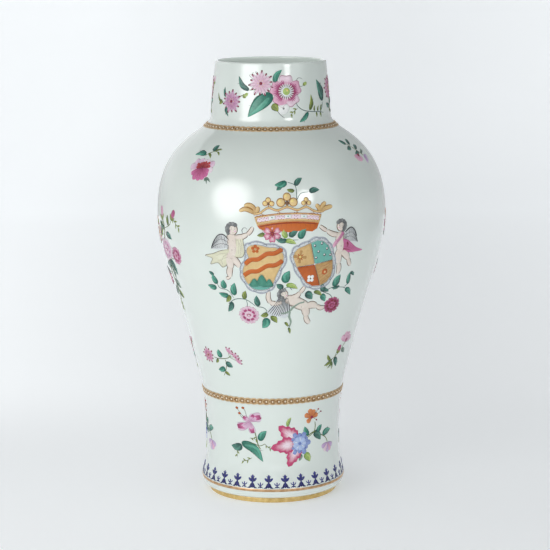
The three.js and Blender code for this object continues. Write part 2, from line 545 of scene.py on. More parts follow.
def smooth_path(points, steps, closed=False):
    """Points along a Catmull-Rom curve through the given ones."""
    p = np.array(points, float)
    if closed:
        p = np.concatenate([p[-1:], p, p[:2]])
    else:
        p = np.concatenate([2 * p[:1] - p[1:2], p, 2 * p[-1:] - p[-2:-1]])
    spans = len(p) - 3
    at = np.linspace(0, spans, steps, endpoint=not closed)
    i = np.minimum(at.astype(int), spans - 1)
    t = (at - i)[:, None]
    a, b, c, d = p[i], p[i + 1], p[i + 2], p[i + 3]
    return 0.5 * (2 * b + (c - a) * t + (2 * a - 5 * b + 4 * c - d) * t**2 + (3 * b - a - 3 * c + d) * t**3)


def polar(radius, angle, x=0.0, y=0.0):
    """A point at a distance and an angle in degrees from x and y."""
    a = math.radians(angle)
    return (x + radius * math.cos(a), y + radius * math.sin(a))


def towards(start, end, share, aside=0.0):
    """A point on the way from start to end, moved aside to the left by a share of the distance."""
    dx, dy = end[0] - start[0], end[1] - start[1]
    return (start[0] + dx * share - dy * aside, start[1] + dy * share + dx * aside)


# How fast a stroke's width grows at its start and fades at its end: 0 is at once.
BAR = (0.03, 0.03)
LINE = (0.10, 0.14)
TAIL = (0.12, 0.9)
LEAF = (0.55, 1.0)
PETAL = (0.75, 0.33)
TEAR = (0.9, 0.45)

# Where the motifs lie: the height of their middle and the radius on which they are unrolled.
NECK = (334, 47.5)
ARMORIAL = (240, 94)
FOOT = (50, 56)


class Brush:
    """Lays raised patches of enamel on one area of the porcelain. All its patches become one piece.

    Coordinates are millimetres on the unrolled surface round a centre: x to the right, y up the outline.
    """

    def __init__(self, height, radius, angle=0.0):
        self.store = {"verts": [], "faces": [], "pigments": [], "tones": [], "names": []}
        self.length = skin.length_at(height)
        self.radius = radius
        self.angle = math.radians(angle)
        self.turned = np.eye(2)
        self.origin = np.zeros(2)

    def moved(self, x, y, turn=0.0, size=1.0, flip=False):
        """The same brush with its own origin, turn in degrees and size; flipped left to right if asked."""
        other = Brush.__new__(Brush)
        other.__dict__.update(self.__dict__)
        a = math.radians(turn)
        own = np.array([[math.cos(a), -math.sin(a)], [math.sin(a), math.cos(a)]]) * size
        if flip:
            own = own @ np.diag([-1.0, 1.0])
        other.origin = self.origin + self.turned @ np.array([x, y], float)
        other.turned = self.turned @ own
        return other

    def _add(self, xy, lift, tone, faces, pigment):
        """Lays one closed patch on the porcelain."""
        store = self.store
        sheet = xy @ self.turned.T + self.origin
        placed = skin.place(self.angle + sheet[:, 0] / self.radius, self.length + sheet[:, 1], lift)
        if np.linalg.det(self.turned) < 0:
            faces = [face[::-1] for face in faces]
        if pigment not in store["names"]:
            store["names"].append(pigment)
        base = sum(len(v) for v in store["verts"])
        store["verts"].append(placed)
        store["tones"].append(tone)
        store["faces"] += [tuple(base + i for i in face) for face in faces]
        store["pigments"] += [store["names"].index(pigment)] * len(faces)

    def stroke(self, points, width, pigment, tone=(0.5, 0.5), shape=LINE, level=0, rim=0.0, steps=None):
        """A brush stroke along a smooth path: shape says how it swells and tapers, and its tone runs on."""
        length = sum(math.dist(a, b) for a, b in zip(points, points[1:]))
        fine = width < 0.9
        steps = steps or int(min(26, max(7, length / (1.1 if fine else 0.8))))
        path = smooth_path(points, steps)
        t = np.linspace(0, 1, steps)
        grow, fade = shape
        peak = (grow / (grow + fade)) ** grow * (fade / (grow + fade)) ** fade
        swell = np.clip(t, 1e-4, 1) ** grow * np.clip(1 - t, 1e-4, 1) ** fade / peak
        swell[[0, -1]] *= 0.25
        along = np.gradient(path, axis=0)
        along /= np.maximum(np.hypot(*along.T), 1e-9)[:, None]
        side = np.stack([-along[:, 1], along[:, 0]], 1)
        across = np.array([-1, 0, 1]) if fine else np.array([-1, -0.62, 0, 0.62, 1])
        half = np.maximum(swell * width / 2, 0.02)
        xy = path[:, None, :] + side[:, None, :] * (half[:, None] * across)[:, :, None]
        height = thickness(level, width)
        lift = np.where(np.abs(across) == 1, SUNK, height * (1 - 0.35 * across**2))[None, :].repeat(steps, 0)
        lift[[0, -1]] = SUNK
        tones = (tone[0] + (tone[1] - tone[0]) * t)[:, None] + rim * across**2
        c = len(across)
        rows = range(0, (steps - 1) * c, c)
        faces = [(i + c + j, i + c + j + 1, i + j + 1, i + j) for i in rows for j in range(c - 1)]
        faces += [(i, i + c - 1, i + 2 * c - 1, i + c) for i in rows]
        faces.append(tuple(range(c)))
        faces.append(tuple(range((steps - 1) * c, steps * c))[::-1])
        self._add(xy.reshape(-1, 2), lift.ravel(), tones.ravel(), faces, pigment)

    def patch(self, outline, pigment, tone=(0.5, 0.5), level=0, middle=None, smooth=True, steps=None):
        """A filled shape seen as a star from its middle: tone runs from the middle to the edge."""
        points = np.array(outline, float)
        size = np.ptp(points, axis=0).max()
        steps = steps or int(min(64, max(12, 2.4 * size)))
        edge = smooth_path(points, steps, closed=True) if smooth else self._corners(points, steps)
        centre = np.array(middle, float) if middle else points.mean(0)
        rings = max(2, round(size / 4))
        inset = 1 - min(0.3, 0.9 / size)
        shares = [s for s in (1.0, *(inset - k / rings for k in range(rings))) if s > 0.08]
        height = thickness(level, size / 2)
        n, last = len(edge), len(shares) - 1
        xy, lift, tones = [], [], []
        for k, share in enumerate(shares):
            xy.append(centre + (edge - centre) * share)
            lift.append(np.full(n, SUNK if k == 0 else height * (1.1 - 0.25 * share)))
            tones.append(np.full(n, tone[0] + (tone[1] - tone[0]) * share))
        below = -0.3 - size**2 / (6 * self.radius)  # the underside's middle stays inside the curved wall
        xy += [centre[None], centre[None]]
        lift.append([height * 1.1, below])
        tones.append([tone[0], tone[0]])
        turning = np.cross(edge - centre, np.roll(edge, -1, 0) - centre).sum()
        faces = []
        for i in range(n):
            j = (i + 1) % n
            faces += [(k * n + i, k * n + j, (k + 1) * n + j, (k + 1) * n + i) for k in range(last)]
            faces.append((last * n + i, last * n + j, (last + 1) * n))
            faces.append((j, i, (last + 1) * n + 1))
        if turning < 0:
            faces = [face[::-1] for face in faces]
        self._add(np.concatenate(xy), np.concatenate(lift), np.concatenate(tones), faces, pigment)

    @staticmethod
    def _corners(points, steps):
        """Points round a polygon, its corners kept."""
        result = []
        around = sum(math.dist(a, b) for a, b in zip(points, np.roll(points, -1, 0)))
        for a, b in zip(points, np.roll(points, -1, 0)):
            count = max(1, round(steps * math.dist(a, b) / around))
            result += [a + (b - a) * k / count for k in range(count)]
        return np.array(result)

    def dot(self, x, y, radius, pigment, tone=0.5, level=0, tall=1.0):
        """A round or oval dab."""
        angles = [2 * math.pi * k / 10 for k in range(10)]
        edge = [(x + radius * math.cos(a), y + radius * tall * math.sin(a)) for a in angles]
        self.patch(edge, pigment, (tone, tone), level, (x, y), steps=10 if radius < 1.2 else 18)

    def dots(self, x, y, distance, count, start, radius, pigment, tone, level):
        """Round dabs evenly spaced on a circle."""
        for k in range(count):
            self.dot(*polar(distance, start + 360 * k / count, x, y), radius, pigment, tone, level)

    def fan(self, x, y, angles, reach, width, pigment, tone, shape=PETAL, level=0):
        """Strokes that spread from one point."""
        for angle in angles:
            self.stroke([(x, y), polar(reach, angle, x, y)], width, pigment, tone, shape, level)

    def outline(self, points, width, pigment="sepia", level=2, tone=(0.4, 0.6)):
        """A thin line all round a closed shape."""
        self.stroke([*points, points[0]], width, pigment, tone, level=level, steps=min(90, 8 * len(points)))

    def piece(self, name, slot="glazed_porcelain"):
        """Makes one mesh of everything that the brush has laid."""
        store = self.store
        mesh = bpy.data.meshes.new(name)
        mesh.from_pydata([tuple(v) for v in np.concatenate(store["verts"])], [], store["faces"])
        mesh.shade_smooth()
        mesh.polygons.foreach_set("material_index", store["pigments"])
        attribute = mesh.attributes.new("tone", "FLOAT", "POINT")
        attribute.data.foreach_set("value", np.concatenate(store["tones"]).astype(np.float32))
        for pigment in store["names"]:
            mesh.materials.append(pigment_material(pigment))
        finish_piece(add(name, mesh), None, slot)


# ---------------------------------------------------------------------------------- leaves and flowers


def leaf(brush, base, tip, width, pigment="emerald", bend=0.10, tone=(1.0, 0.1)):
    """A pointed leaf: deep at its base, with a paler half, a dark midrib, side veins and a dark edge."""
    length = math.dist(base, tip)
    middle = towards(base, tip, 0.5, bend)
    brush.stroke([base, middle, tip], width, pigment, tone, LEAF, rim=0.1)
    if width > 2.6:
        lean = bend + 0.22 * width / length
        pale = [towards(base, tip, 0.12), towards(base, tip, 0.55, lean), towards(base, tip, 0.92)]
        brush.stroke(pale, width * 0.38, pigment, (tone[0] - 0.5, tone[1] - 0.6), LEAF, level=1)
        edge = bend - 0.46 * width / length
        brush.stroke([base, towards(base, tip, 0.42, edge), tip], 0.4, "teal", (1.0, 1.0), LINE, level=2)
    line = 0.3 + 0.06 * min(width, 5)
    brush.stroke([base, middle, towards(base, tip, 0.98)], line, "teal", (1.0, 1.0), TAIL, level=2)
    if length > 6.5:
        for share in (0.25, 0.42, 0.6):
            for way in (-1, 1):
                root = towards(base, tip, share, bend * 4 * share * (1 - share))
                reach = towards(base, tip, share + 0.16, bend * 2.6 * share + way * 0.36 * width / length)
                brush.stroke([root, reach], line * 0.75, "teal", (0.9, 0.9), TAIL, level=2, steps=5)


def twig(brush, points, width=0.8, pigment="olive"):
    """A thin even line for stems and stamens."""
    brush.stroke(points, width, pigment, (1.0, 0.8), LINE, level=1)


def leaves(brush, *rows):
    """Several leaves, each with its base, tip, width and pigment."""
    for row in rows:
        leaf(brush, *row)


def sprig(brush, points, size, count=5):
    """A twig with small leaves on alternate sides."""
    twig(brush, points, 0.6)
    path = smooth_path(points, 2 * count + 3)
    for k in range(count):
        at, ahead = path[2 * k + 2], path[2 * k + 3] - path[2 * k + 1]
        heading = math.degrees(math.atan2(ahead[1], ahead[0])) + (48 if k % 2 else -48)
        brush.stroke([tuple(at), polar(size, heading, *at)], size * 0.42, "olive", (0.7, 0.2), LEAF)


def daisy(brush, x, y, radius, petals=13, pigment="pink", start=0.0):
    """Narrow petals round a small heart, each with a dark tip and a dark line."""
    brush.dot(x, y, radius * 0.55, pigment, 0.8)
    for k in range(petals):
        angle = start + 360 * k / petals
        reach = radius * (1.0 if k % 2 else 0.88)
        inner, outer = polar(radius * 0.12, angle, x, y), polar(reach, angle, x, y)
        brush.stroke([inner, outer], radius * 4.2 / petals, pigment, (0.95, 0.2), PETAL, k % 2, rim=0.25)
        tip = [towards(inner, outer, 0.7), towards(inner, outer, 1.08)]
        brush.stroke(tip, radius * 2.1 / petals, "crimson", (0.3, 0.9), TEAR, level=2)
        if radius > 5:
            line = [towards(inner, outer, 0.15), towards(inner, outer, 0.7)]
            brush.stroke(line, 0.42, "magenta", (1.0, 0.5), TAIL, level=2)
    brush.dot(x, y, radius * 0.16, "crimson", 0.5, level=3)
    brush.dots(x, y, radius * 0.24, 6, 0, radius * 0.045, "yellow", 0.1, 3)


def blossom(brush, x, y, radius, petals=5, pigment="pink", start=90.0, tone=(0.25, 0.0)):
    """Broad rounded petals round a dark heart, with fine rays and a darker edge line."""
    for k in range(petals):
        angle = start + 360 * k / petals
        wide = 180 / petals * 1.05
        arcs = ((0.1, 0), (0.72, -0.95), (1.0, -0.45), (0.9, 0), (1.0, 0.45), (0.72, 0.95))
        edge = [polar(radius * r, angle + a * wide, x, y) for r, a in arcs]
        brush.patch(edge, pigment, tone, k % 2, polar(radius * 0.6, angle, x, y))
        brush.stroke(edge[1:], 0.35, "magenta", (0.3, 0.3), LINE, level=2)
        for a in (-0.45, 0, 0.45):
            ray = [polar(radius * r, angle + a * wide, x, y) for r in (0.22, 0.66)]
            brush.stroke(ray, 0.1 * radius, "magenta", (0.8, 0.0), TAIL, level=2, steps=6)
    brush.dot(x, y, radius * 0.2, "iron_red", 0.6, level=3)
    brush.dots(x, y, radius * 0.3, 5, 20, radius * 0.05, "yellow", 0.1, 3)


def rose(brush, x, y, wide, tall, pigment="pink", deep="magenta", heart="crimson", seed=0.0):
    """A full rose: a pale toothed round, a deep one, and a pale heart, each petal with a drawn edge."""

    def oval(share, angle):
        u, v = polar(share, angle)
        return (x + u * wide, y + v * tall)

    brush.dot(x, y, wide * 0.86, pigment, 0.8, tall=tall / wide)
    rounds = ((1.0, 9, pigment, (1.0, 0.15)), (0.72, 8, deep, (0.9, 0.15)), (0.47, 6, pigment, (0.5, 0.0)))
    tooth = ((0.5, 0), (0.78, -1.0), (1.0, -0.5), (0.93, 0.0), (1.04, 0.5), (0.78, 1.0))
    for level, (share, count, tint, tone) in enumerate(rounds):
        for k in range(count):
            angle = seed + 360 * (k + 0.5 * level) / count
            edge = [oval(share * r, angle + a * 200 / count) for r, a in tooth]
            brush.patch(edge, tint, tone, level)
            brush.stroke(edge[1:], 0.36, heart if level else deep, (0.3, 0.3), LINE, level=level + 1)
    for k in range(10):
        vein = [oval(0.5, 36 * k + seed), oval(0.72, 36 * k + seed + 8)]
        brush.stroke(vein, 0.6, heart, (0.7, 0.2), TAIL, level=3, steps=5)
    brush.dot(x, y, wide * 0.24, heart, 0.2, level=4, tall=0.6 * tall / wide)
    brush.dot(x, y, wide * 0.17, pigment, 0.1, level=6, tall=0.5 * tall / wide)


def serrated(brush, base, tip, width, level=0):
    """A broad pointed petal, pale in the middle and crimson along its finely toothed edge, with veins."""
    length = math.dist(base, tip)

    def half(share):
        swell = (share / 0.42) ** 0.6 if share < 0.42 else ((1 - share) / 0.58) ** 0.8
        return 0.5 * width / length * swell

    sides = {1: [], -1: []}
    veins = []
    teeth = 4
    for way in (1, -1):
        for k in range(teeth):
            share = 0.24 + 0.58 * k / (teeth - 1)
            notch, point = share - 0.05, share + 0.08
            sides[way].append(towards(base, tip, notch, way * 0.9 * half(notch)))
            sides[way].append(towards(base, tip, point, way * (half(point) + 0.9 / length)))
            root = towards(base, tip, 0.12 + 0.15 * k, way * 0.02)
            veins.append([root, towards(base, tip, share + 0.04, way * half(share))])
    edge = [base, *sides[1], tip, *sides[-1][::-1]]
    brush.patch(edge, "peony", (-0.3, 1.35), level, towards(base, tip, 0.4), smooth=False, steps=56)
    for vein in veins:
        brush.stroke(vein, 0.5, "peony", (0.3, 1.2), TAIL, level=level + 1, steps=6)
    brush.stroke([base, towards(base, tip, 0.97)], 0.8, "peony", (0.4, 1.3), TAIL, level=level + 2)
    for side in (-0.16, 0.16):
        streak = [towards(base, tip, 0.1, side * 0.3), towards(base, tip, 0.6, side * width / length)]
        brush.stroke(streak, 1.0, "white", (0.0, 0.0), TAIL, level=level + 1)


def bud(brush, base, tip, width, pigment="pink"):
    """A closed bud in its calyx."""
    brush.stroke([base, tip], width, pigment, (0.2, 0.6), (0.8, 0.5))
    for side in (-0.16, 0.0, 0.16):
        crease = [towards(base, tip, 0.3, side * 0.6), towards(base, tip, 0.94, side * 0.5)]
        brush.stroke(crease, 0.3, "crimson", (0.4, 0.6), TAIL, level=1)
        sepal = [base, towards(base, tip, 0.45, side * 2.2)]
        brush.stroke(sepal, width * 0.35, "olive", (0.7, 0.3), LEAF, level=2)


# -------------------------------------------------------------------------------------- the neck spray


def poppy(brush, x, y):
    """The large open flower: pale petals, a crimson ring, a fringe of stamens and a green boss."""
    for angle, pigment in ((90, "blush"), (18, "pink"), (-54, "blush"), (234, "pink"), (162, "pink")):
        arcs = ((0.1, 0), (0.66, -1), (0.98, -0.5), (0.93, 0), (1.0, 0.5), (0.66, 1))
        edge = [polar(13.2 * r, angle + a * 40, x, y) for r, a in arcs]
        brush.patch(edge, pigment, (0.75, 0.1), middle=polar(7, angle, x, y))
        brush.stroke(edge[1:], 0.45, "magenta", (0.5, 0.5), LINE, level=2)
    rays, stamens = 44, 20
    for k in range(rays):
        angle = 360 / rays * k
        deep = abs(math.cos(math.radians(angle + 6))) ** 0.7
        pigment = "magenta" if deep > 0.45 else "pink"
        reach = 8.2 + 2.6 * deep + 0.8 * math.sin(5 * k)
        ray = [polar(4.6, angle, x, y), polar(reach, angle, x, y)]
        brush.stroke(ray, 1.9, pigment, (0.35 + 0.85 * deep, 0.0), TAIL, level=3, steps=6)
    brush.dot(x, y, 4.6, "white", 0.3, level=4)
    for angle in range(0, 360, 360 // stamens):
        dark = [polar(r, angle, x, y) for r in (3.0, 6.4)]
        brush.stroke(dark, 0.6, "ink", (0.7, 0.9), LINE, level=6, steps=5)
        pale = [polar(r, angle + 9, x, y) for r in (3.4, 7.2)]
        brush.stroke(pale, 1.0, "white", (0.2, 0.0), LINE, level=5, steps=5)
    brush.dot(x, y, 3.3, "lime", 0.5, level=6)
    brush.dot(x + 0.5, y + 0.6, 1.5, "yellow", 0.1, level=7)


def neck_spray(brush):
    """An open poppy between two daisies and long leafy twigs."""
    leaf(brush, (-43.5, -6.5), (-51.5, 1.5), 2.6, "olive", bend=0.2)
    leaves(
        brush,
        ((-45, -4), (-49, -8), 3.4, "olive"), ((-41, -2), (-42, 6.5), 3.0, "teal"),
    )
    leaf(brush, (-39, -8), (-36.5, -17.5), 3.2, "teal", bend=-0.15)
    daisy(brush, -34, -5, 9.5, 13, pigment="lilac")
    twig(brush, [(-28, -2), (-24, 0), (-18, 2)])
    bud(brush, (-23, -1.5), (-18.5, 2.2), 3.0, "lime")
    leaf(brush, (-17.5, 4.5), (-27.5, 15.8), 4.8, "teal", bend=0.16)
    twig(brush, [(-18, 4.5), (-14, 5), (-10, 6)])
    leaf(brush, (1.5, 1.5), (-18.5, -17), 12.5, "emerald", bend=-0.06)
    daisy(brush, -8, 10, 10.2, 14, pigment="blush", start=8)
    for x, y in ((-14, 17.5), (-11.5, 18.5), (-16.5, 16)):
        twig(brush, [(x + 3, y - 4), (x, y - 1), (x - 1.2, y + 0.6), (x + 0.4, y + 1.4)], 0.35, "ink")
    leaf(brush, (3, 10), (9.5, 21), 5.0, "emerald", bend=0.14)
    leaf(brush, (1.5, -6), (6, -12.5), 6.6, "olive", bend=0.0, tone=(0.5, 0.2))
    twig(brush, [(5, -12), (8, -15.5), (11.5, -18)], 0.5, "ink")
    poppy(brush, 12.5, 3.5)
    brush.patch([(6, -7), (5.5, -12), (9, -15), (13.5, -13), (15, -8), (11, -6)], "white", (0.0, 0.35))
    brush.dot(10, -10, 1.1, "grey", 0.7, level=2)
    twig(brush, [(20, 11), (24, 14), (28, 12.5)], 0.4, "ink")
    twig(brush, [(22, 8), (26, 7), (29, 8.5)], 0.4, "ink")
    bud(brush, (27.5, 8), (31.5, 10), 3.0, "lime")
    twig(brush, [(20, -4), (22, -8.5), (27, -12), (35, -13.5), (43, -14), (51, -15.5)], 0.75, "teal")
    sprig(brush, [(22, -10), (18.5, -12.5), (15, -16)], 3.4, count=4)
    leaf(brush, (31.5, -13.5), (22.5, -21.5), 4.2, "emerald")
    leaf(brush, (33, -12.5), (35, 0.5), 4.2, "olive", bend=-0.1)
    for base, tip in (
        ((38, -13.6), (39, -8.5)), ((42, -13.8), (43.5, -9)), ((40, -14), (40.5, -18.5)),
        ((46, -14.3), (48, -8)), ((45, -14.4), (46, -19)),
    ):
        leaf(brush, base, tip, 2.2, "olive")
    leaf(brush, (49.5, -6), (42.5, 12), 8.6, "teal", bend=-0.06)
    twig(brush, [(49, -6), (48.5, -10), (46, -14)], 0.7, "teal")


# --------------------------------------------------------------------- gilt chains and the blue border


def gilding_material(name, light, deep, roughness):
    """Burnished gold, browner in random patches as if thin or worn a little."""
    gold = Finish(name, {"Roughness": roughness, "Metallic": 0.9})
    wear = gold.noise(260.0, 4.0)
    gold.shade({"Base Color": gold.mix(gold.ramp(wear, 0.35, 0.65), (*light, 1), (*deep, 1))})
    gold.bump(wear, 0.25, 0.0003)
    return gold.material


def ring(name, profile, material, *nodes):
    """A gilt ring from its raised outline, closed just inside the porcelain."""
    sunk = [(r - 0.5, z) for r, z in profile][::-1]
    points = [*profile, *sunk]
    finish_piece(turned(name, points, facets(points, [(0, len(profile) - 1)])), material, "gilding", *nodes)


def plain_band(name, node_name, radius, squareness, steps, material):
    """A raised gilt ring on an upright stretch of the porcelain; squareness flattens its face."""
    share = np.linspace(-1, 1, steps)
    profile = zip(radius + 0.3 * (1 - share**squareness), np.linspace(*heights(node_name), steps))
    ring(name, list(profile), material, node_name)


def chain_band(name, node_name, links, tall):
    """A ring of interlaced oval links over a thin gilt ground, with a bright bead in each link."""
    middle = np.mean([skin.length_at(height) for height in heights(node_name)])
    radius, height = skin.across(middle)
    share = np.linspace(-1, 1, 7)
    ground = skin.across(middle + 0.36 * tall * share, 0.28 * (1 - share**2) + 0.05)
    ring(name + "_ground", list(zip(*ground)), gilt_ground, node_name)
    brush = Brush(height, radius)
    brush.length = middle
    pitch = 2 * math.pi * radius / links
    angles = np.linspace(0, 2 * math.pi, 13)[:-1]
    for k in range(links):
        x = (k - links / 2) * pitch
        oval = [(x + 0.66 * pitch * math.cos(a), 0.40 * tall * math.sin(a)) for a in angles]
        brush.stroke([*oval, oval[0]], 1.25, "chain", (0.2, 0.2), (0.02, 0.02), level=3 + k % 2, steps=19)
        brush.dot(x, 0, 0.85, "bead", 0.0, level=5, tall=1.2)
    brush.piece(name + "_links", "gilding")


def border_sprig(brush, x, y):
    """One tall three-lobed sprig of the blue border, standing on two arches."""
    brush.stroke([(x, y), (x, y + 7)], 1.9, "cobalt", (1.0, 0.6), (0.03, 0.25), level=1)
    brush.stroke([(x, y + 5.4), (x, y + 11.4)], 2.7, "cobalt", (0.9, 0.4), (0.5, 0.6), level=2)
    for way in (-1, 1):
        arch = [(x + 4.1 * way, y + 0.1), (x + 1.7 * way, y + 0.9), (x + 0.3 * way, y + 4.6)]
        brush.stroke(arch, 2.1, "cobalt", (0.9, 1.0), TEAR)
        side_lobe = [(x, y + 5.4), (x + 1.7 * way, y + 6.8), (x + 3.4 * way, y + 8.6)]
        brush.stroke(side_lobe, 2.2, "cobalt", (1.0, 0.4), (0.4, 0.5), level=1)
        brush.dot(x + 1.4 * way, y + 9.7, 0.42, "cobalt", 0.1)


def border_bud(brush, x, y):
    """The small sprig between two tall ones."""
    brush.stroke([(x, y), (x, y + 3.6)], 1.1, "cobalt", (0.9, 0.5), LINE, level=1)
    brush.stroke([(x, y + 2.2), (x, y + 5.2)], 1.1, "cobalt", (0.7, 0.2), TEAR, level=1)
    for way in (-1, 1):
        brush.stroke([(x + 2.2 * way, y), (x + 0.3 * way, y + 1.6)], 1.0, "cobalt", (0.9, 0.9), TEAR)
        side_lobe = [(x, y + 2.4), (x + 1.3 * way, y + 3.0), (x + 2.3 * way, y + 4.6)]
        brush.stroke(side_lobe, 1.0, "cobalt", (0.7, 0.3), (0.45, 0.55))


def blue_border():
    """Tall and small sprigs by turns, all round the foot."""
    brush = Brush(*FOOT)
    count = 27
    pitch = 2 * math.pi * brush.radius / count
    foot = skin.length_at(FOOT_JOINT) - brush.length + 0.1
    for k in range(count):
        x = -3.5 + k * pitch
        border_sprig(brush, x, foot)
        border_bud(brush, x + pitch / 2, foot)
    brush.piece("blue_foot_border")


# ---------------------------------------------------------------------------------- sprays of the body


def shoulder_posy(brush):
    """A red-hearted flower hanging from a leafy twig."""
    twig(brush, [(-4, 13), (0, 16), (5, 18), (11, 17.5)])
    leaf(brush, (-3, 14.5), (-17, 13), 5.6, "emerald", bend=-0.12)
    leaves(
        brush,
        ((3, 18), (6.5, 25), 6.0, "teal"), ((-1, 16), (4, 11), 2.6, "olive"),
        ((5, 18.5), (13, 20), 2.2, "olive"), ((8, 18), (12, 14), 2.0, "olive"),
    )
    heart = (-1, 2.5)
    for angle, reach in ((-8, 12), (22, 13), (52, 9.5), (84, 8), (118, 9), (150, 12), (178, 14), (204, 13)):
        tip = polar(reach, angle, *heart)
        pigment = "lilac" if angle % 4 else "blush"
        brush.stroke([heart, tip], 6.4, pigment, (1.0, -0.2), PETAL, level=angle // 30 % 2)
        crease = [towards(heart, tip, 0.5), towards(heart, tip, 0.95)]
        brush.stroke(crease, 0.45, "magenta", (0.8, 0.1), TAIL, level=2)
    for angle, reach in ((212, 12), (238, 12.5), (264, 11.5), (290, 11), (316, 10.5), (340, 9.5)):
        tip = polar(reach, angle, *heart)
        brush.stroke([heart, tip], 5.2, "magenta", (1.0, -0.3), PETAL, level=1 + angle // 26 % 2)
        for side in (-0.12, 0.12):
            vein = [towards(heart, tip, 0.3, side * 0.4), towards(heart, tip, 0.9, side)]
            brush.stroke(vein, 0.5, "crimson", (0.7, 0.5), TAIL, level=3)
    for angle, reach in ((10, 9), (34, 9), (60, 7), (90, 5.5), (125, 5.5), (155, 7.5), (180, 7)):
        tip = polar(reach, angle, *heart)
        brush.stroke([heart, tip], 3.4, "ruby", (1.1, 0.1), PETAL, level=4 + angle // 30 % 2)
        brush.stroke([heart, towards(heart, tip, 0.7)], 0.5, "crimson", (1.0, 0.4), TAIL, level=6)
    for k in range(5):
        brush.dot(-5 + 2.4 * k, 1.2 + 0.5 * k, 0.7, "crimson", 0.6, level=7)
    for x, y in ((5, -9), (8, -11), (10, -7), (11.5, -9.5)):
        leaf(brush, (5, -6), (x, y), 1.8, "sage")


def shoulder_spray(brush):
    """Dark leaves over a pink bud and grey petals."""
    twig(brush, [(-10, 10), (-4, 6), (2, 0), (8, -6)])
    for base, tip in (
        ((-6, 8), (-13, 13)), ((-2, 6), (2, 13)), ((-4, 5), (-11, 2)), ((2, 1), (9, 5)), ((4, -1), (-4, -3)),
    ):
        leaf(brush, base, tip, 4.2, "teal")
    brush.fan(-1, -4, (200, 235, 270, 305), 7, 4.2, "pink", (0.8, 0.1))
    brush.dot(-1, -4.6, 1.8, "crimson", level=2)
    brush.fan(8, -6, (280, 315, 350), 7.5, 3.6, "mauve", (0.8, 0.0))
    leaf(brush, (6, -4), (14, -1), 2.8, "sage")


def daisy_posy(brush):
    """A daisy at the left, a cluster of small pink flowers and leaves at the right."""
    daisy(brush, -15, 2, 6.8, 11, pigment="pink", start=5)
    twig(brush, [(-9, 1), (-2, 0.5), (6, 2), (10, 5)])
    twig(brush, [(3, 1), (4, -4), (2, -10), (-1, -15)])
    leaves(
        brush,
        ((0, 1.5), (-2, 9), 5.8, "emerald"), ((3, -3), (10, -6), 5.6, "teal"),
        ((2, -7), (-6, -10), 5.2, "emerald"), ((1, -11), (6, -14), 3.2, "olive"),
        ((-4, 0.5), (-7, -4), 3.0, "olive"),
    )
    for x, y in ((7, 7.5), (12, 3.5), (14.5, -0.5)):
        twig(brush, [(8, 3), (x + 0.5, y + 0.5)], 0.5)
        angles = (-20, 20, 60, 100)
        brush.fan(x, y, angles, 4.6, 2.0, "pink", (0.7, 0.2))
        for angle in angles:
            brush.dot(*polar(4.3, angle, x, y), 0.65, "crimson", 0.7, level=2)


def bud_posy(brush):
    """Two buds on a twig, with leaves."""
    twig(brush, [(-10, -6), (-3, -4), (4, 2), (9, 8)])
    twig(brush, [(-3, -4), (0, 2), (2, 4)])
    angles = (20, 60, 100, 140)
    brush.fan(9, 8, angles, 9.5, 5.4, "pink", (0.8, 0.1), level=1)
    brush.fan(9, 8, angles, 7.5, 0.6, "crimson", (1.0, 0.4), TAIL, level=2)
    brush.dot(9.5, 9.5, 2.2, "magenta", 0.8, level=2)
    bud(brush, (0, -1), (3, 6.5), 5.0, "magenta")
    leaves(
        brush,
        ((5, 2), (11, -2), 4.4, "sage"), ((-5, -5), (-14, -10), 3.6, "olive"),
        ((-7, -6), (-12, 0), 3.2, "olive"), ((-3, -4), (2, -13), 5.6, "teal"),
    )
    for x, y in ((-6, -12), (-10, -13), (-4, -15)):
        leaf(brush, (-5, -7), (x, y), 1.9, "olive")


def side_bouquet(brush):
    """A tall bouquet: a rose, a peony bud, a lilac flower and long leaves down a bent stem."""
    twig(brush, [(-2, 34), (2, 24), (-1, 12), (3, 0), (-2, -14), (2, -28), (0, -38)], 1.0)
    twig(brush, [(2, 24), (12, 28), (17, 35)])
    twig(brush, [(-1, 12), (-12, 14), (-20, 22)])
    twig(brush, [(3, 0), (10, -1), (16, 2)])
    twig(brush, [(-2, -14), (-13, -16), (-18, -24)])
    rose(brush, 0, 6, 10.5, 9.5, pigment="blush", deep="lilac", heart="magenta", seed=10)
    rose(brush, 17, 3, 6.6, 7.4, seed=40)
    blossom(brush, -17, 18, 8, pigment="cream", start=100)
    daisy(brush, -15, -20, 7, 12, pigment="pink")
    bud(brush, (-2, 30), (-4, 42), 6.5, "pink")
    bud(brush, (15, 32), (20, 41), 5.5, "magenta")
    bud(brush, (-18, 24), (-23, 31), 4.5, "orange")
    leaves(
        brush,
        ((2, 24), (-9, 29), 5.0, "teal"), ((4, 20), (14, 16), 5.6, "teal"),
        ((-3, 30), (-9, 15), 4.6, "olive"), ((10, 27), (9, 36), 4.6, "olive"),
        ((3, -1), (11, -15), 5.0, "teal"), ((1, -3), (5, -19), 5.0, "sage"),
        ((4, -3), (-9, -8), 6.0, "teal"), ((0, -20), (9, -27), 5.4, "sage"),
        ((-8, -15), (-24, -12), 5.4, "sage"), ((1, -24), (-8, -34), 6.0, "sage"),
        ((1, -30), (9, -36), 4.6, "olive"), ((-12, 14), (-24, 10), 4.4, "olive"),
    )
    sprig(brush, [(16, 36), (22, 30), (27, 26)], 4.2)
    sprig(brush, [(0, -36), (-3, -42), (-2, -48)], 3.8, count=6)


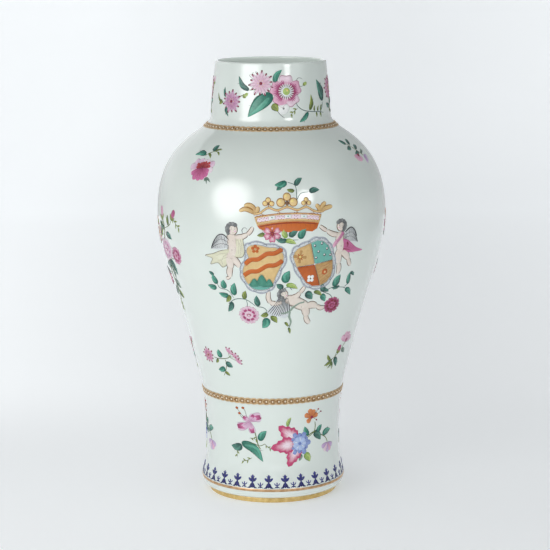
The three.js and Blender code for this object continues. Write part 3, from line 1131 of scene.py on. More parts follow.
def foot_spray(brush):
    """A lily, a large magenta and blue peony and an orange flower, joined by twigs."""
    twig(brush, [(-15, 11), (-13.5, 5), (-12, -1), (-10, -4)], 0.9)
    throat = (-18.5, 19)
    petals = (
        ((-31, 14.5), 8.0, 0.15), ((-9, 23.5), 9.0, 0.15), ((-16, 9.0), 6.6, -0.06), ((-25, 23), 5.4, 0.0),
        ((-15, 25.5), 5.6, 0.1),
    )
    for end, width, bend in petals:
        brush.stroke([throat, towards(throat, end, 0.5, bend), end], width, "lilac", (0.7, -0.2), PETAL)
        for share, side in ((0.42, bend + 0.16), (0.5, bend), (0.42, bend - 0.18)):
            ray = [towards(throat, end, share, side), towards(throat, end, 0.99, side * 0.3)]
            brush.stroke(ray, width * 0.36, "magenta", (-0.2, 1.0), TEAR, level=1)
        middle = [throat, towards(throat, end, 0.8, bend * 0.8)]
        brush.stroke(middle, 0.6, "magenta", (0.8, 0.4), TAIL, level=2)
    for x, y in ((-30, 30), (-24.5, 30.5), (-28, 25.5)):
        twig(brush, [(-21, 19), (x + 2, y - 3), (x, y)], 0.45, "sepia")
        brush.dot(x, y, 1.4, "iron_red", 0.4, level=2, tall=0.8)
    leaf(brush, (-11, 3), (-5, 12), 6.2, "emerald")
    leaf(brush, (-26, -2), (-37, -3), 7.2, "teal", bend=0.12)
    leaf(brush, (-27, 1), (-8, -14.5), 8.2, "emerald", bend=0.14)
    sprig(brush, [(-29, -3), (-31, -7), (-31, -13)], 3.2, count=3)
    sprig(brush, [(-20, 5), (-16, 5), (-12, 3)], 2.8, count=3)
    twig(brush, [(-26, -1), (-18, 1), (-11, -1), (-6, 1)])
    sprig(brush, [(-17, -11), (-22, -14), (-27, -15)], 3.2, count=4)
    sprig(brush, [(-7, 1), (-4, -2), (-1, -4)], 2.6, count=3)
    for tip, width, level in (((4.5, 16), 15, 0), ((12.5, -19), 14, 1), ((-2, -3), 15, 2)):
        serrated(brush, (22, 1), tip, width, level=level)
    heart = (22.5, 0)
    brush.dot(*heart, 7.4, "sky", 0.9)
    for k in range(11):
        angle = -150 + 30 * k
        tip = polar(10.8 if k % 2 else 9.0, angle, *heart)
        brush.stroke([heart, tip], 5.0, "sky", (0.0, 0.8), (0.8, 0.42), level=2 + k % 2)
        for side in (-0.12, 0.12):
            vein = [towards(heart, tip, 0.4, side * 0.5), towards(heart, tip, 0.9, side)]
            brush.stroke(vein, 0.45, "cobalt", (0.0, 0.4), TAIL, level=4)
    for k in range(9):
        tip = polar(6.4, 40 * k, *heart)
        brush.stroke([heart, tip], 4.4, "sky", (0.3, -0.4), (0.8, 0.42), level=5 + k % 2)
        light = [towards(heart, tip, 0.3), towards(heart, tip, 0.85)]
        brush.stroke(light, 1.6, "white", (0.2, 0.0), LEAF, level=6)
        crescent = [polar(6.6, 40 * k + turn, *heart) for turn in (-14, 0, 14)]
        brush.stroke(crescent, 0.7, "cobalt", (0.0, 0.0), LINE, level=7)
        brush.stroke([heart, towards(heart, tip, 0.8)], 0.6, "sky", (1.0, 0.6), TAIL, level=7)
    brush.dot(*heart, 1.8, "sky", 0.9, level=7)
    leaf(brush, (12, 15), (15, 23), 3.4, "lime")
    leaf(brush, (27, -9), (32, -16.5), 6.6, "lime", tone=(0.9, 0.4))
    leaf(brush, (24, -9), (22, -15), 3.2, "sage")
    twig(brush, [(37, 17), (37.5, 12), (36, 8), (30, 4)], 0.9)
    eye = (33.5, 21)
    for end in ((31, 28.5), (26.5, 24), (29, 16.5), (36, 27.5), (40, 23)):
        brush.stroke([eye, end], 4.6, "orange", (0.9, 0.1), PETAL)
        for side in (-0.26, -0.1, 0.1, 0.26):
            ray = [towards(eye, end, 0.2, side * 0.4), towards(eye, end, 0.9, side)]
            brush.stroke(ray, 0.75, "iron_red", (1.0, 0.8), TAIL, level=1)
    brush.dot(*eye, 1.7, "crimson", 0.2, level=2)
    for x, y in ((40, 27), (43, 24.5), (38.5, 18)):
        twig(brush, [(34, 21), (x, y)], 0.4, "sepia")
        brush.dot(x, y, 0.8, "crimson", 0.4, level=3)
    leaf(brush, (31, 6), (27, 14), 5.2, "emerald")
    twig(brush, [(29, 5), (36, 8), (43, 5), (50, 1), (53, -4)], 0.9)
    leaves(
        brush,
        ((36, 8), (44, 0), 7.2, "teal"), ((40, 6.5), (45, 13), 5.0, "emerald"),
        ((46, 3.5), (57, 7), 6.0, "emerald"),
    )
    for angle, pigment in ((200, "mauve"), (235, "blush"), (270, "mauve"), (300, "pink"), (335, "mauve")):
        brush.fan(53, -4, [angle], 8.5, 4.4, pigment, (0.8, 0.1))
        brush.fan(53, -4, [angle], 6, 0.5, "magenta", (1.0, 0.5), TAIL, level=1)


# -------------------------------------------------------------------------------------------- armorial


def limbs(brush, *rows):
    """Rounded limbs with a fine drawn edge, each with its path, its width and how its ends taper."""
    for points, width, shape in rows:
        brush.stroke(points, width + 0.7, "sepia", (0.0, 0.2), shape)
        brush.stroke(points, width, "flesh", (0.35, 0.1), shape, level=2)


def drape(brush, outline, middle, *folds):
    """A flying cloth with a drawn edge and drawn folds."""
    brush.patch(outline, "cream", (0.1, 0.35), level=1, middle=middle)
    brush.outline(outline, 0.45, "sepia", level=3)
    for fold in folds:
        brush.stroke(fold, 0.45, "sepia", (0.2, 0.5), TAIL, level=4)


def wing(brush, feathers=17):
    """A wing spread to the left of its shoulder: feathers hang from its leading edge, barred with ink."""
    leading = smooth_path([(0, 0), (-6.5, 4.6), (-12, 1), (-16.6, -7)], feathers)
    trailing = smooth_path([(-1, -7), (-7, -8), (-12, -8.4), (-16.8, -8)], feathers)
    brush.patch([*leading[::3], *trailing[::-3]], "white", (0.3, 0.7), middle=(-8, -3))
    for k, (top, end) in enumerate(zip(leading, trailing)):
        path = [tuple(top), towards(top, end, 0.5, -0.06), tuple(end)]
        brush.stroke(path, 0.75, "ink", (0.5, 0.9), (0.1, 0.4), level=3)
        if k % 2:
            brush.stroke(path, 1.1, "grey", (0.0, 0.3), (0.2, 0.5), level=1)
    for share in (0.3, 0.58):
        feathered = enumerate(zip(leading, trailing))
        row = [towards(top, end, share + 0.05 * (k % 2)) for k, (top, end) in feathered]
        brush.stroke(row, 0.6, "ink", (0.7, 0.7), LINE, level=4, steps=2 * feathers)
    brush.stroke([tuple(p) for p in leading[::4]], 1.0, "ink", (0.5, 0.8), LINE, level=5)


def head(brush, curls=(40, 235)):
    """A calm child's head turned a little to the right, with short grey curls."""
    brush.dot(0, 0, 4.25, "sepia", 0.1, level=2, tall=1.08)
    brush.dot(0, 0, 3.95, "flesh", 0.1, level=4, tall=1.08)
    brush.dot(2.1, -1.3, 0.95, "pink", 0.1, level=5)
    brush.dot(-1.7, -1.5, 0.8, "pink", 0.0, level=5)
    for x in (-0.7, 1.9):
        brush.stroke([(x - 0.7, 1.15), (x, 1.5), (x + 0.7, 1.2)], 0.26, "sepia", (0.3, 0.5), LINE, level=7)
        brush.stroke([(x - 0.55, 0.35), (x, 0.6), (x + 0.55, 0.35)], 0.3, "sepia", (0.8, 0.8), LINE, level=7)
        brush.dot(x, 0.2, 0.26, "sepia", 0.9, level=7)
    brush.stroke([(0.8, 0.3), (1.0, -0.9), (0.6, -1.1)], 0.26, "sepia", (0.1, 0.3), TAIL, level=7)
    brush.stroke([(-0.3, -2.25), (0.6, -2.4), (1.4, -2.15)], 0.4, "iron_red", (0.4, 0.4), LINE, level=7)
    for reach, size in ((4.1, 1.75), (2.9, 1.5)):
        for angle in range(curls[0] + (0 if reach > 3 else 22), curls[1], 28):
            x, y = polar(reach, angle, -0.3, 0.9 if reach < 3 else 0)
            brush.dot(x, y, size, "grey", 0.45 + 0.2 * (angle % 3), level=6)
            coil = [polar(size * 0.75, angle + a, x, y) for a in (0, 90, 180, 250)]
            brush.stroke(coil, 0.3, "ink", (0.5, 0.9), LINE, level=8, steps=9)


def crown(brush):
    """An open crown: jewelled band, scalloped rail, trefoils of balls, two outer leaves, red lining."""

    def across(share, up):
        """A place on the curved band: share runs from left to right, up from bottom to top."""
        low = (-11.4 + 49.8 * share, -3.4 + 1.1 * share + 10.4 * share * (1 - share))
        high = (-14.4 + 55.8 * share, 5.6 + 0.4 * share + 11.0 * share * (1 - share))
        return towards(low, high, up)

    shares = np.linspace(0, 1, 15)
    lining = [across(s, 0.02) for s in shares]
    hem = [
        (36.6, -6.6), (32.5, -8.9), (26, -7.8), (19.5, -8.0), (13, -8.7), (6, -7.8), (-0.5, -8.4),
        (-6.4, -7.2), (-9.8, -5.6),
    ]
    brush.patch([*lining, *hem], "iron_red", (-0.3, 0.2), middle=(13, -4.4), smooth=False, steps=70)
    for k in range(12):
        x, y = across(0.06 + 0.08 * k, -0.02)
        fold = [(x, y), (x * 0.96 + 0.5, y - 3), (x * 0.93 + 0.9, y - 6)]
        brush.stroke(fold, 0.7, "iron_red", (0.8, 1.0), TAIL, level=2)
    brush.stroke([across(s, -0.12) for s in shares[::2]], 1.6, "iron_red", (1.0, 1.0), LINE, level=1)
    band = [across(s, 0) for s in shares] + [across(s, 0.76) for s in shares[::-1]]
    brush.patch(band, "gold", (0.0, 0.35), level=1, middle=(13, 3.6), smooth=False, steps=80)
    brush.stroke([across(s, 0.44) for s in shares[::2]], 5.0, "blush", (0.0, 0.0), (0.02, 0.02), level=2)
    rail = [
        (-14.4, 5.6), (-9, 6.8), (-2.5, 10.8), (4.5, 8.8), (12.4, 11.2), (20.3, 8.8), (27.8, 10.8),
        (34, 7.6), (41.4, 6.0),
    ]
    brush.stroke(rail, 1.9, "gold", (0.1, 0.1), LINE, level=3, steps=48)
    brush.stroke([(x, y - 0.8) for x, y in rail], 0.5, "iron_red", (0.5, 0.5), LINE, level=5, steps=48)
    brush.stroke([(x, y + 0.8) for x, y in rail], 0.4, "sepia", (0.0, 0.0), LINE, level=5, steps=48)
    for k in range(4):
        low, high = across(0.14 + 0.24 * k, 0.76), rail[2 * k + 1]
        brush.stroke([low, high], 0.8, "gold", (0.8, 0.4), LINE, level=2, steps=6)
    for up in (0.06, 0.76):
        brush.stroke([across(s, up) for s in shares[::2]], 0.6, "iron_red", (0.4, 0.4), LINE, level=5)
    jewels, half = (0.25, 0.49, 0.73), 0.055
    for share in jewels:
        corners = [across(share + x, y) for x, y in ((-half, 0.3), (half, 0.3), (half, 0.66), (-half, 0.66))]
        brush.patch(corners, "white", (0.0, 0.2), level=4, smooth=False)
        for a, b in zip(corners, corners[1:] + corners[:1]):
            brush.stroke([a, b], 0.55, "iron_red", (0.8, 0.8), BAR, level=5)
        brush.dot(*across(share, 0.48), 0.85, "turquoise", 0.4, level=6, tall=0.8)
    for k in range(40):
        share = 0.02 + 0.96 * k / 39
        if min(abs(share - jewel) for jewel in jewels) > 0.075:
            odd = k % 2
            for up in (0.22, 0.48, 0.72):
                brush.dot(*across(share, up + 0.07 * odd), 0.42, "iron_red", 0.6 + 0.4 * odd, level=5)
    balls = (
        (-5, 14.2, 2.3), (-2.6, 16.8, 2.3), (0.2, 14, 2.3), (7.4, 14.8, 3.7), (12.4, 19.2, 3.4),
        (17.4, 14.9, 3.7), (25.8, 13.9, 2.1), (28, 16.5, 2.1), (30.2, 13.9, 2.1),
    )
    for x, y, radius in balls:
        brush.dot(x, y, radius, "gold", 1.0, level=2)
        brush.dot(x, y, radius * 0.86, "gold", 0.0, level=4)
        brush.dot(x - radius * 0.2, y + radius * 0.25, radius * 0.45, "yellow", 0.0, level=5)
    for x, y, radius in ((-2.5, 13.6, 1.0), (12.4, 14.2, 1.8), (28, 13.7, 0.9)):
        brush.dot(x, y, radius, "sepia", 0.0, level=6)
        brush.stroke([(x, y), (x, y - 3)], radius, "gold", (0.9, 0.7), LINE, level=5)
    outer_leaves = (
        [(-13, 5.6), (-16, 8), (-21, 9.6), (-26, 7.8)], [(-13, 6), (-14, 10.6), (-18, 12.8), (-22, 12)],
        [(-13, 6), (-11, 9), (-11.2, 12)], [(40.5, 5.8), (43, 8.4), (47, 9.6), (50.8, 10)],
        [(40, 6), (41.5, 10.6), (45, 14)], [(39.6, 6), (38.4, 9.6), (35.8, 12.6)],
    )
    for path in outer_leaves:
        brush.stroke(path, 4.2, "gold", (1.0, 0.8), (0.5, 0.4), level=1)
        brush.stroke(path, 3.5, "gold", (0.6, 0.1), (0.5, 0.4), level=3)
        brush.stroke(path[:-1], 0.5, "sepia", (0.2, 0.0), TAIL, level=5)


def shrunk(outline, centre, by):
    """The outline moved in towards a point by a fixed width."""
    return [towards(point, centre, by / math.dist(point, centre)) for point in outline]


def scroll_frame(brush, outline, centre):
    """A rolled blue-grey frame: light scrolls end to end, with drawn edges and short shading lines."""
    brush.patch(shrunk(outline, centre, 0.4), "white", (0.9, 0.9), middle=centre)
    path = [tuple(point) for point in smooth_path(outline, 48, closed=True)]
    for k in range(0, 48, 4):
        turns = ((0, 2.2), (1, 0.6), (3, -0.2), (5, 0.9), (5, 2.2))
        scroll = [shrunk([path[(k + i) % 48]], centre, by)[0] for i, by in turns]
        brush.stroke(scroll, 1.7, "slate", (-0.3, 0.3), (0.25, 0.35), level=2)
        brush.stroke(scroll, 0.56, "ink", (1.0, 0.6), (0.2, 0.2), level=4)
        for i, reach in ((1, 1.9), (2, 1.4), (3, 1.9)):
            hatch = [shrunk([path[(k + i) % 48]], centre, by)[0] for by in (0.2, reach)]
            brush.stroke(hatch, 0.45, "ink", (0.8, 0.3), TAIL, level=4, steps=4)
    brush.outline(shrunk(outline, centre, 2.4), 0.45, "ink", level=4, tone=(0.3, 0.3))


def left_shield(brush):
    """A gold shield with two wavy bends, a rosette and three hills: charges that belong to no family."""
    outline = [
        (-19.5, -17.5), (-12, -16), (-2, -18), (5.5, -19), (11, -24), (12, -31), (8.5, -40), (5, -48),
        (1.5, -55), (-4, -59), (-14, -59.5), (-20.5, -56), (-25.5, -49), (-27, -42), (-25, -35), (-21, -28),
        (-22, -22),
    ]
    centre = (-8, -37)
    scroll_frame(brush, outline, centre)
    brush.patch(shrunk(outline, centre, 2.5), "gold", (0.12, 0.3), level=2, middle=centre)
    bends = (
        [(-22.6, -35.5), (-17, -31), (-11, -30.4), (-4, -26), (2.5, -25.4), (9, -21.6)],
        [(-24.4, -45), (-18, -41), (-11.5, -40.4), (-4, -36), (3, -35.2), (9.6, -31)],
    )
    for bend in bends:
        brush.stroke(bend, 5.8, "sepia", (0.0, 0.0), BAR, level=3)
        brush.stroke(bend, 5.1, "iron_red", (0.0, 0.2), BAR, level=5)
        brush.stroke([(x, y - 1.7) for x, y in bend], 0.7, "iron_red", (1.0, 1.0), LINE, level=7)
    brush.dots(-13, -22, 2.2, 5, 18, 1.7, "iron_red", 0.2, 4)
    brush.dot(-13, -22, 1.0, "gold", 0.6, level=6)
    brush.patch(
        [(-20.5, -52), (-16, -50.5), (-9, -51.5), (-1, -52.5), (-2.5, -55.6), (-9, -57), (-16, -56)],
        "turquoise", (0.1, 0.2), level=3,
    )
    for x, wide, high in ((-15, 4.2, 6.4), (-8.6, 5.0, 10), (-2.4, 3.6, 6)):
        top = -53 + high * 0.6
        hill = [
            (x - wide, -53.4), (x - wide * 0.66, top), (x, -53 + high), (x + wide * 0.66, top),
            (x + wide, -53.4), (x, -54.2),
        ]
        brush.patch(hill, "emerald", (0.35, 0.7), level=4, middle=(x, -51))
        brush.outline(hill, 0.45, "teal", level=6, tone=(1, 1))
        for side in (-0.4, 0.1, 0.5):
            gully = [(x + side * wide * 0.5, -53 + high * 0.7), (x + side * wide, -53)]
            brush.stroke(gully, 0.4, "teal", (0.9, 0.6), TAIL, level=6)


def right_shield(brush):
    """A quartered shield: a flower on gold, beads on turquoise, a rosette on red, and a lattice."""
    outline = [
        (19.5, -20), (25, -18), (31, -15.5), (37, -13.5), (43, -15), (48.5, -19), (52, -25), (55, -33),
        (56.2, -42), (55, -49), (51, -54.5), (44, -57.5), (36, -57.5), (29, -54), (23, -46.5), (18, -38),
        (15.3, -30), (16, -24),
    ]
    centre = (36, -36)
    scroll_frame(brush, outline, centre)
    edge = shrunk(outline, centre, 2.5)
    quarters = (
        (edge[15:] + edge[:3], "gold", (0.3, 0.45)), (edge[2:8], "turquoise", (0.25, 0.1)),
        (edge[7:12], "gold", (0.5, 0.75)), (edge[11:16], "iron_red", (0.1, 0.45)),
    )
    for rim, pigment, tone in quarters:
        middle = tuple(np.mean([*rim, centre], axis=0))
        brush.patch([*rim, centre], pigment, tone, level=2, middle=middle, smooth=False, steps=30)
    for k in (2, 7, 11, 15):
        brush.stroke([centre, edge[k]], 0.7, "sepia", (0.3, 0.5), BAR, level=5)
    brush.fan(23, -29, range(82, 442, 90), 6.2, 3.6, "gold", (1.0, 0.8), level=4)
    brush.fan(23, -29, range(127, 487, 90), 4, 1.4, "iron_red", (0.6, 0.3), LEAF, level=4)
    brush.dot(23, -29, 1.4, "yellow", 0.2, level=6)
    for x, y in (
        (35, -20.5), (41, -19), (46, -23.5), (38.5, -25.5), (44, -28.5), (49.5, -29), (36.8, -30.5),
    ):
        brush.dot(x, y, 1.5, "ink", 0.3, level=4)
        brush.dot(x - 0.25, y + 0.3, 0.85, "white", 0.0, level=6)
    for k in range(6):
        falling = [towards(edge[7], edge[11], 0.1 + 0.16 * k), towards(centre, edge[9], 0.25 + 0.12 * k)]
        brush.stroke(falling, 0.8, "sepia", (0.0, 0.0), LINE, level=4)
        rising = [towards(centre, edge[11], 0.3 + 0.13 * k), towards(edge[7], edge[9], 0.18 * k)]
        brush.stroke(rising, 0.8, "iron_red", (0.6, 0.6), LINE, level=4)
    brush.dot(46, -43, 3.0, "iron_red", 0.4, level=5)
    brush.dot(46, -43, 1.3, "gold", 0.2, level=7)
    brush.dots(33.5, -48, 2.0, 4, 45, 1.9, "white", 0.0, 4)
    brush.dot(33.5, -48, 0.9, "sepia", 0.5, level=6)


def left_putto(brush):
    """A winged child standing at the left, holding up the crown."""
    wing(brush.moved(-34, -15.5))
    flying = [
        (-34, -23.5), (-42, -24.5), (-50, -27.5), (-57.5, -29.5), (-51, -31.5), (-53, -36.5), (-46, -35),
        (-41.5, -38.5), (-36, -33.5),
    ]
    folds = (
        [(-35, -26), (-42, -27), (-49, -30)], [(-35, -29), (-40, -31), (-47, -34)],
        [(-35, -27), (-39, -28.4), (-42, -33), (-41, -37)],
    )
    drape(brush, flying, (-42, -29.5), *folds)
    limbs(
        brush,
        ([(-33.5, -27), (-30, -32.5), (-28, -35.5), (-27.4, -38.5)], 6.4, (0.25, 0.5)),
        ([(-33, -25), (-35.2, -32), (-34.6, -39.5)], 8.4, (0.3, 0.35)),
        ([(-34.4, -37), (-36.4, -42.5), (-36, -47)], 5.6, (0.3, 0.4)),
        ([(-35.6, -46.2), (-38.4, -47.6), (-40.6, -48)], 2.6, (0.3, 0.3)),
        ([(-31.6, -10.4), (-32.4, -16), (-31.4, -22), (-33, -29)], 9.4, (0.2, 0.2)),
    )
    sash = [
        (-28, -12), (-23.5, -12.5), (-22.5, -18), (-22, -25), (-24, -29), (-29, -29.4), (-32, -26.5),
        (-29, -20),
    ]
    folds = (
        [(-27, -13.4), (-26.4, -20), (-27, -27.6)], [(-24.8, -13.6), (-24, -20), (-24, -27)],
        [(-29, -20), (-29.4, -24), (-30.6, -27)], [(-25.8, -16), (-25, -22), (-25.4, -28)],
    )
    drape(brush, sash, (-26.4, -21), *folds)
    limbs(
        brush,
        ([(-29.4, -13), (-24, -12.6), (-18.6, -10)], 4.6, (0.2, 0.3)),
        ([(-19.4, -10.8), (-16.6, -7.8), (-14.4, -4)], 3.4, (0.2, 0.3)),
    )
    for side in (-2.2, 1.4):
        crease = [(-33 + side, -15), (-32 + side, -16), (-31 + side, -15.4)]
        brush.stroke(crease, 0.35, "sepia", (0.2, 0.1), TAIL, level=5)
    brush.dot(-32.2, -23.4, 0.4, "sepia", 0.3, level=5)
    brush.stroke([(-34.8, -29.6), (-33, -30.8), (-31.4, -30.2)], 0.4, "sepia", (0.3, 0.2), TAIL, level=5)
    curl = [(-22.5, -10.5), (-23.5, -7), (-21.4, -5), (-19.4, -6.4), (-20, -8.4)]
    brush.stroke(curl, 0.7, "grey", (0.6, 0.4), TAIL, level=3)
    head(brush.moved(-31.2, -6.8, 4, 1.06), (50, 240))


def right_putto(brush):
    """The same child mirrored at the right, with a pink sash and a flying magenta cloth."""
    wing(brush.moved(62.5, -12, -6, 0.95, flip=True), 15)
    flying = [
        (60, -17.5), (66, -18), (71, -21.5), (77, -25.5), (86, -29), (77, -29.4), (68, -29), (60, -27),
        (56.5, -27.4),
    ]
    brush.patch(flying, "magenta", (0.35, 0.0), level=1, middle=(66, -24.5))
    brush.stroke([(57, -26.6), (62, -25.4), (66, -26), (72, -28)], 2.0, "crimson", (0.8, 0.1), TAIL, level=2)
    for y in (-20.5, -23, -25):
        crease = [(62, y), (68, y - 1.5), (76, y - 4 + 0.1 * y)]
        brush.stroke(crease, 0.6, "crimson", (0.6, 0.1), TAIL, level=3)
    brush.stroke([(65, -19), (66.5, -22), (66, -25)], 2.2, "crimson", (0.9, 0.3), LINE, level=2)
    limbs(
        brush,
        ([(61, -27), (66, -30.6), (69.6, -35)], 6.6, (0.3, 0.4)),
        ([(69, -34), (71, -37.6), (73.4, -41)], 4.4, (0.25, 0.35)),
        ([(58.5, -25), (58, -31), (59.4, -38)], 7.6, (0.3, 0.35)),
        ([(59.2, -37), (60.6, -42), (59.6, -47)], 5.0, (0.25, 0.35)),
        ([(59, -11), (57.8, -17), (59, -22), (59.4, -28)], 8.8, (0.2, 0.2)),
    )
    brush.stroke(
        [(61.4, -11), (57.5, -16), (54, -20), (51.4, -23.4)], 4.2, "pink", (0.9, 0.1), (0.1, 0.25), level=4,
    )
    for side in (-0.7, 0.7):
        crease = [(x + side, y + side) for x, y in ((60.6, -12.5), (56, -17.6), (52.6, -21.6))]
        brush.stroke(crease, 0.6, "crimson", (0.7, 0.4), TAIL, level=6)
    limbs(
        brush,
        ([(56, -13.4), (50.4, -12), (45, -9)], 4.4, (0.2, 0.3)),
        ([(45.6, -9.4), (41.6, -6.8), (38.6, -4.6)], 3.2, (0.2, 0.3)),
    )
    brush.dot(59.4, -22.6, 0.4, "sepia", 0.3, level=5)
    head(brush.moved(58.4, -6.2, -4, 1.02, flip=True), (40, 240))


def reclining_putto(brush):
    """A third child lying under the shields, holding up both of them."""
    cloth = [
        (7, -61), (14, -62), (16.5, -70), (17, -79), (12, -82.5), (5, -81), (-1, -80.5), (-5.5, -77.5),
        (-1, -72), (4, -66),
    ]
    brush.patch(cloth, "white", (0.6, 1.1), level=0, middle=(7, -74))
    for k in range(11):
        top, end = (7.5 + 0.65 * k, -62.5 - 0.1 * k), (-4.6 + 2.1 * k, -77.6 - 3.4 * math.sin(0.3 * k))
        brush.stroke([top, towards(top, end, 0.5, 0.05), end], 0.9, "ink", (1.0, 1.0), LINE, level=3)
    limbs(
        brush,
        ([(33, -72.6), (39, -72), (44, -74)], 6.8, (0.25, 0.4)),
        ([(43, -73.4), (48, -75.4), (52.4, -75)], 4.4, (0.25, 0.35)),
        ([(30, -72), (33, -78), (33.4, -82)], 8.0, (0.25, 0.35)),
        ([(33, -80.6), (34.6, -85), (38.6, -88.6)], 5.2, (0.25, 0.35)),
        ([(12, -66), (18.6, -67), (26, -70.4), (34, -73.6)], 10.6, (0.22, 0.2)),
        ([(17, -64.6), (22.6, -63), (25.6, -59.6)], 5.0, (0.2, 0.3)),
        ([(25, -60.2), (27.6, -57.6), (29, -54.6)], 3.8, (0.2, 0.3)),
        ([(9.6, -68), (3, -69.6), (-2, -68)], 5.2, (0.2, 0.3)),
        ([(-1.4, -69), (-3.4, -64), (-2.6, -57.6)], 4.4, (0.2, 0.3)),
    )
    brush.stroke([(16, -70.6), (20, -71.4), (23, -73)], 0.4, "sepia", (0.3, 0.1), TAIL, level=5)
    brush.dot(27.6, -73, 0.4, "sepia", 0.3, level=5)
    ribbon = [(31, -68.6), (25.5, -69.6), (20.5, -72.4), (17, -76), (12, -78), (7.5, -78)]
    tail = [(17, -76.4), (16.4, -81), (18.4, -86), (17.2, -91)]
    for path in (ribbon, tail):
        brush.stroke(path, 2.4, "sage", (0.1, 0.0), (0.1, 0.3), level=3)
        brush.stroke(path, 0.6, "ink", (0.6, 0.3), LINE, level=5)
    head(brush.moved(10.4, -61.4, 18, 1.0), (60, 262))


def garlands(brush):
    """Leafy twigs and roses under the shields, round the crown and between them."""
    stems = (
        ([(-50, -53), (-48, -57), (-40, -59), (-35, -66)], 0.7),
        ([(-42, -71), (-35, -66.5), (-28, -65.5), (-22, -67), (-15, -72)], 0.8),
        ([(-15, -72), (-8, -73), (-5, -76), (-6, -79)], 0.8), ([(-24, -74), (-23, -70), (-24, -66)], 0.7),
        ([(44, -59.5), (50, -62), (56, -64.5), (60, -68)], 0.8),
        ([(50, -61), (57, -58), (65, -58.6), (72, -60), (76, -62.4)], 0.7),
        ([(70, -59.6), (75, -57), (76, -54)], 0.6), ([(46, -73), (52, -74), (55, -74)], 0.7),
        ([(10, -56), (15, -55), (18, -58)], 0.6), ([(5, -12), (12, -14.8), (22, -15)], 0.6),
        ([(20, 14), (20.4, 21), (19.5, 28), (13, 31)], 0.7), ([(20, 16), (24, 21.5), (31, 22.6)], 0.6),
        ([(12, -86.5), (17, -90), (16, -96)], 0.6),
    )
    for path, width in stems:
        brush.stroke(path, width, "teal", (0.9, 0.6), LINE, level=1)
    garland_leaves = (
        ((-49.5, -53.6), (-53.5, -45), 5, "emerald"), ((-51.5, -45.5), (-56.5, -43), 3, "teal"),
        ((-51, -56.6), (-60.5, -55.4), 4.6, "emerald"), ((-43, -57.5), (-43, -49.4), 5.6, "emerald"),
        ((-34.4, -63), (-32.8, -51.4), 5.8, "emerald"), ((-40, -63), (-50.4, -61.6), 4.4, "emerald"),
        ((-39, -62.5), (-43.8, -69.4), 4.2, "olive"), ((-37.5, -68.6), (-43.4, -78), 4.8, "teal"),
        ((-25, -66), (-23.4, -58), 4.4, "olive"), ((-12, -71.8), (-14, -62), 5.2, "teal"),
        ((-3.4, -77.6), (-11.4, -80.4), 4.2, "olive"), ((-4.4, -82), (-10, -91.4), 7.4, "emerald"),
        ((-1.6, -80.4), (5, -86.8), 5.0, "olive"), ((11.4, -51.4), (15, -40.4), 7.0, "emerald"),
        ((10.4, -55.2), (3.8, -52), 4.6, "teal"), ((12, -53), (23, -56.6), 4.2, "lime"),
        ((49, -60.6), (45.4, -51.4), 5.2, "teal"), ((59.2, -58), (63.8, -47.4), 7.2, "emerald"),
        ((65.4, -57.6), (56, -58.4), 2.6, "teal"), ((76, -57.4), (75, -46.4), 4.6, "emerald"),
        ((75, -46.8), (81.4, -50.4), 2.8, "teal"), ((73, -61), (83.4, -68), 4.4, "emerald"),
        ((30, -60.8), (37.8, -67), 6.2, "teal"), ((38, -60.2), (47.4, -64.4), 3.4, "olive"),
        ((47, -59.6), (54, -61.2), 3.0, "teal"), ((45.6, -63.8), (51.8, -70), 5.2, "emerald"),
        ((-5.4, -9.2), (-11.6, -11.2), 3.2, "olive"), ((12, -13.4), (9.4, -5.4), 4.2, "lime"),
        ((14, -12.6), (20.8, -7.8), 4.8, "teal"), ((22.4, -14.6), (27.8, -5.8), 5.6, "emerald"),
        ((12.6, -15.2), (2.8, -13.8), 3.8, "teal"), ((10, -15.4), (19.8, -18.4), 3.8, "lime"),
        ((13, 31), (2.4, 28.6), 5.0, "emerald"), ((8, 28.4), (4, 24.4), 3.2, "teal"),
        ((19.5, 27.6), (26.4, 34), 4.2, "teal"), ((19, 24), (12.4, 25), 3.0, "olive"),
        ((31, 22.4), (40.4, 23.6), 4.2, "teal"), ((12, -86.4), (16.4, -90.6), 2.4, "olive"),
        ((16, -91), (18.4, -97), 2.4, "olive"),
    )
    for base, tip, width, pigment in garland_leaves:
        leaf(brush, base, tip, 1.15 * width, pigment)
    blossom(brush, 0.5, -9.6, 7.2, petals=6, pigment="peony", tone=(0.15, 1.0))
    brush.fan(0.5, -9.6, range(0, 360, 45), 3.6, 1.3, "crimson", (0.5, 0.2), TAIL, level=4)
    rose(brush, -22.4, -79.8, 9.8, 7.8, pigment="blush", deep="magenta", seed=12)
    rose(brush, 60.4, -74, 9.4, 7.0, pigment="magenta", deep="crimson", seed=30)


def paint(name, motif, height, radius, angle=0):
    """Paints one motif as a piece of its own, at an angle from the front."""
    brush = Brush(height, radius, angle)
    motif(brush)
    brush.piece(name)


paint("neck_spray_front", neck_spray, *NECK)
paint("armorial_garlands", garlands, *ARMORIAL)
for motif in (left_shield, right_shield, crown, left_putto, right_putto, reclining_putto):
    paint(motif.__name__, motif, *ARMORIAL)

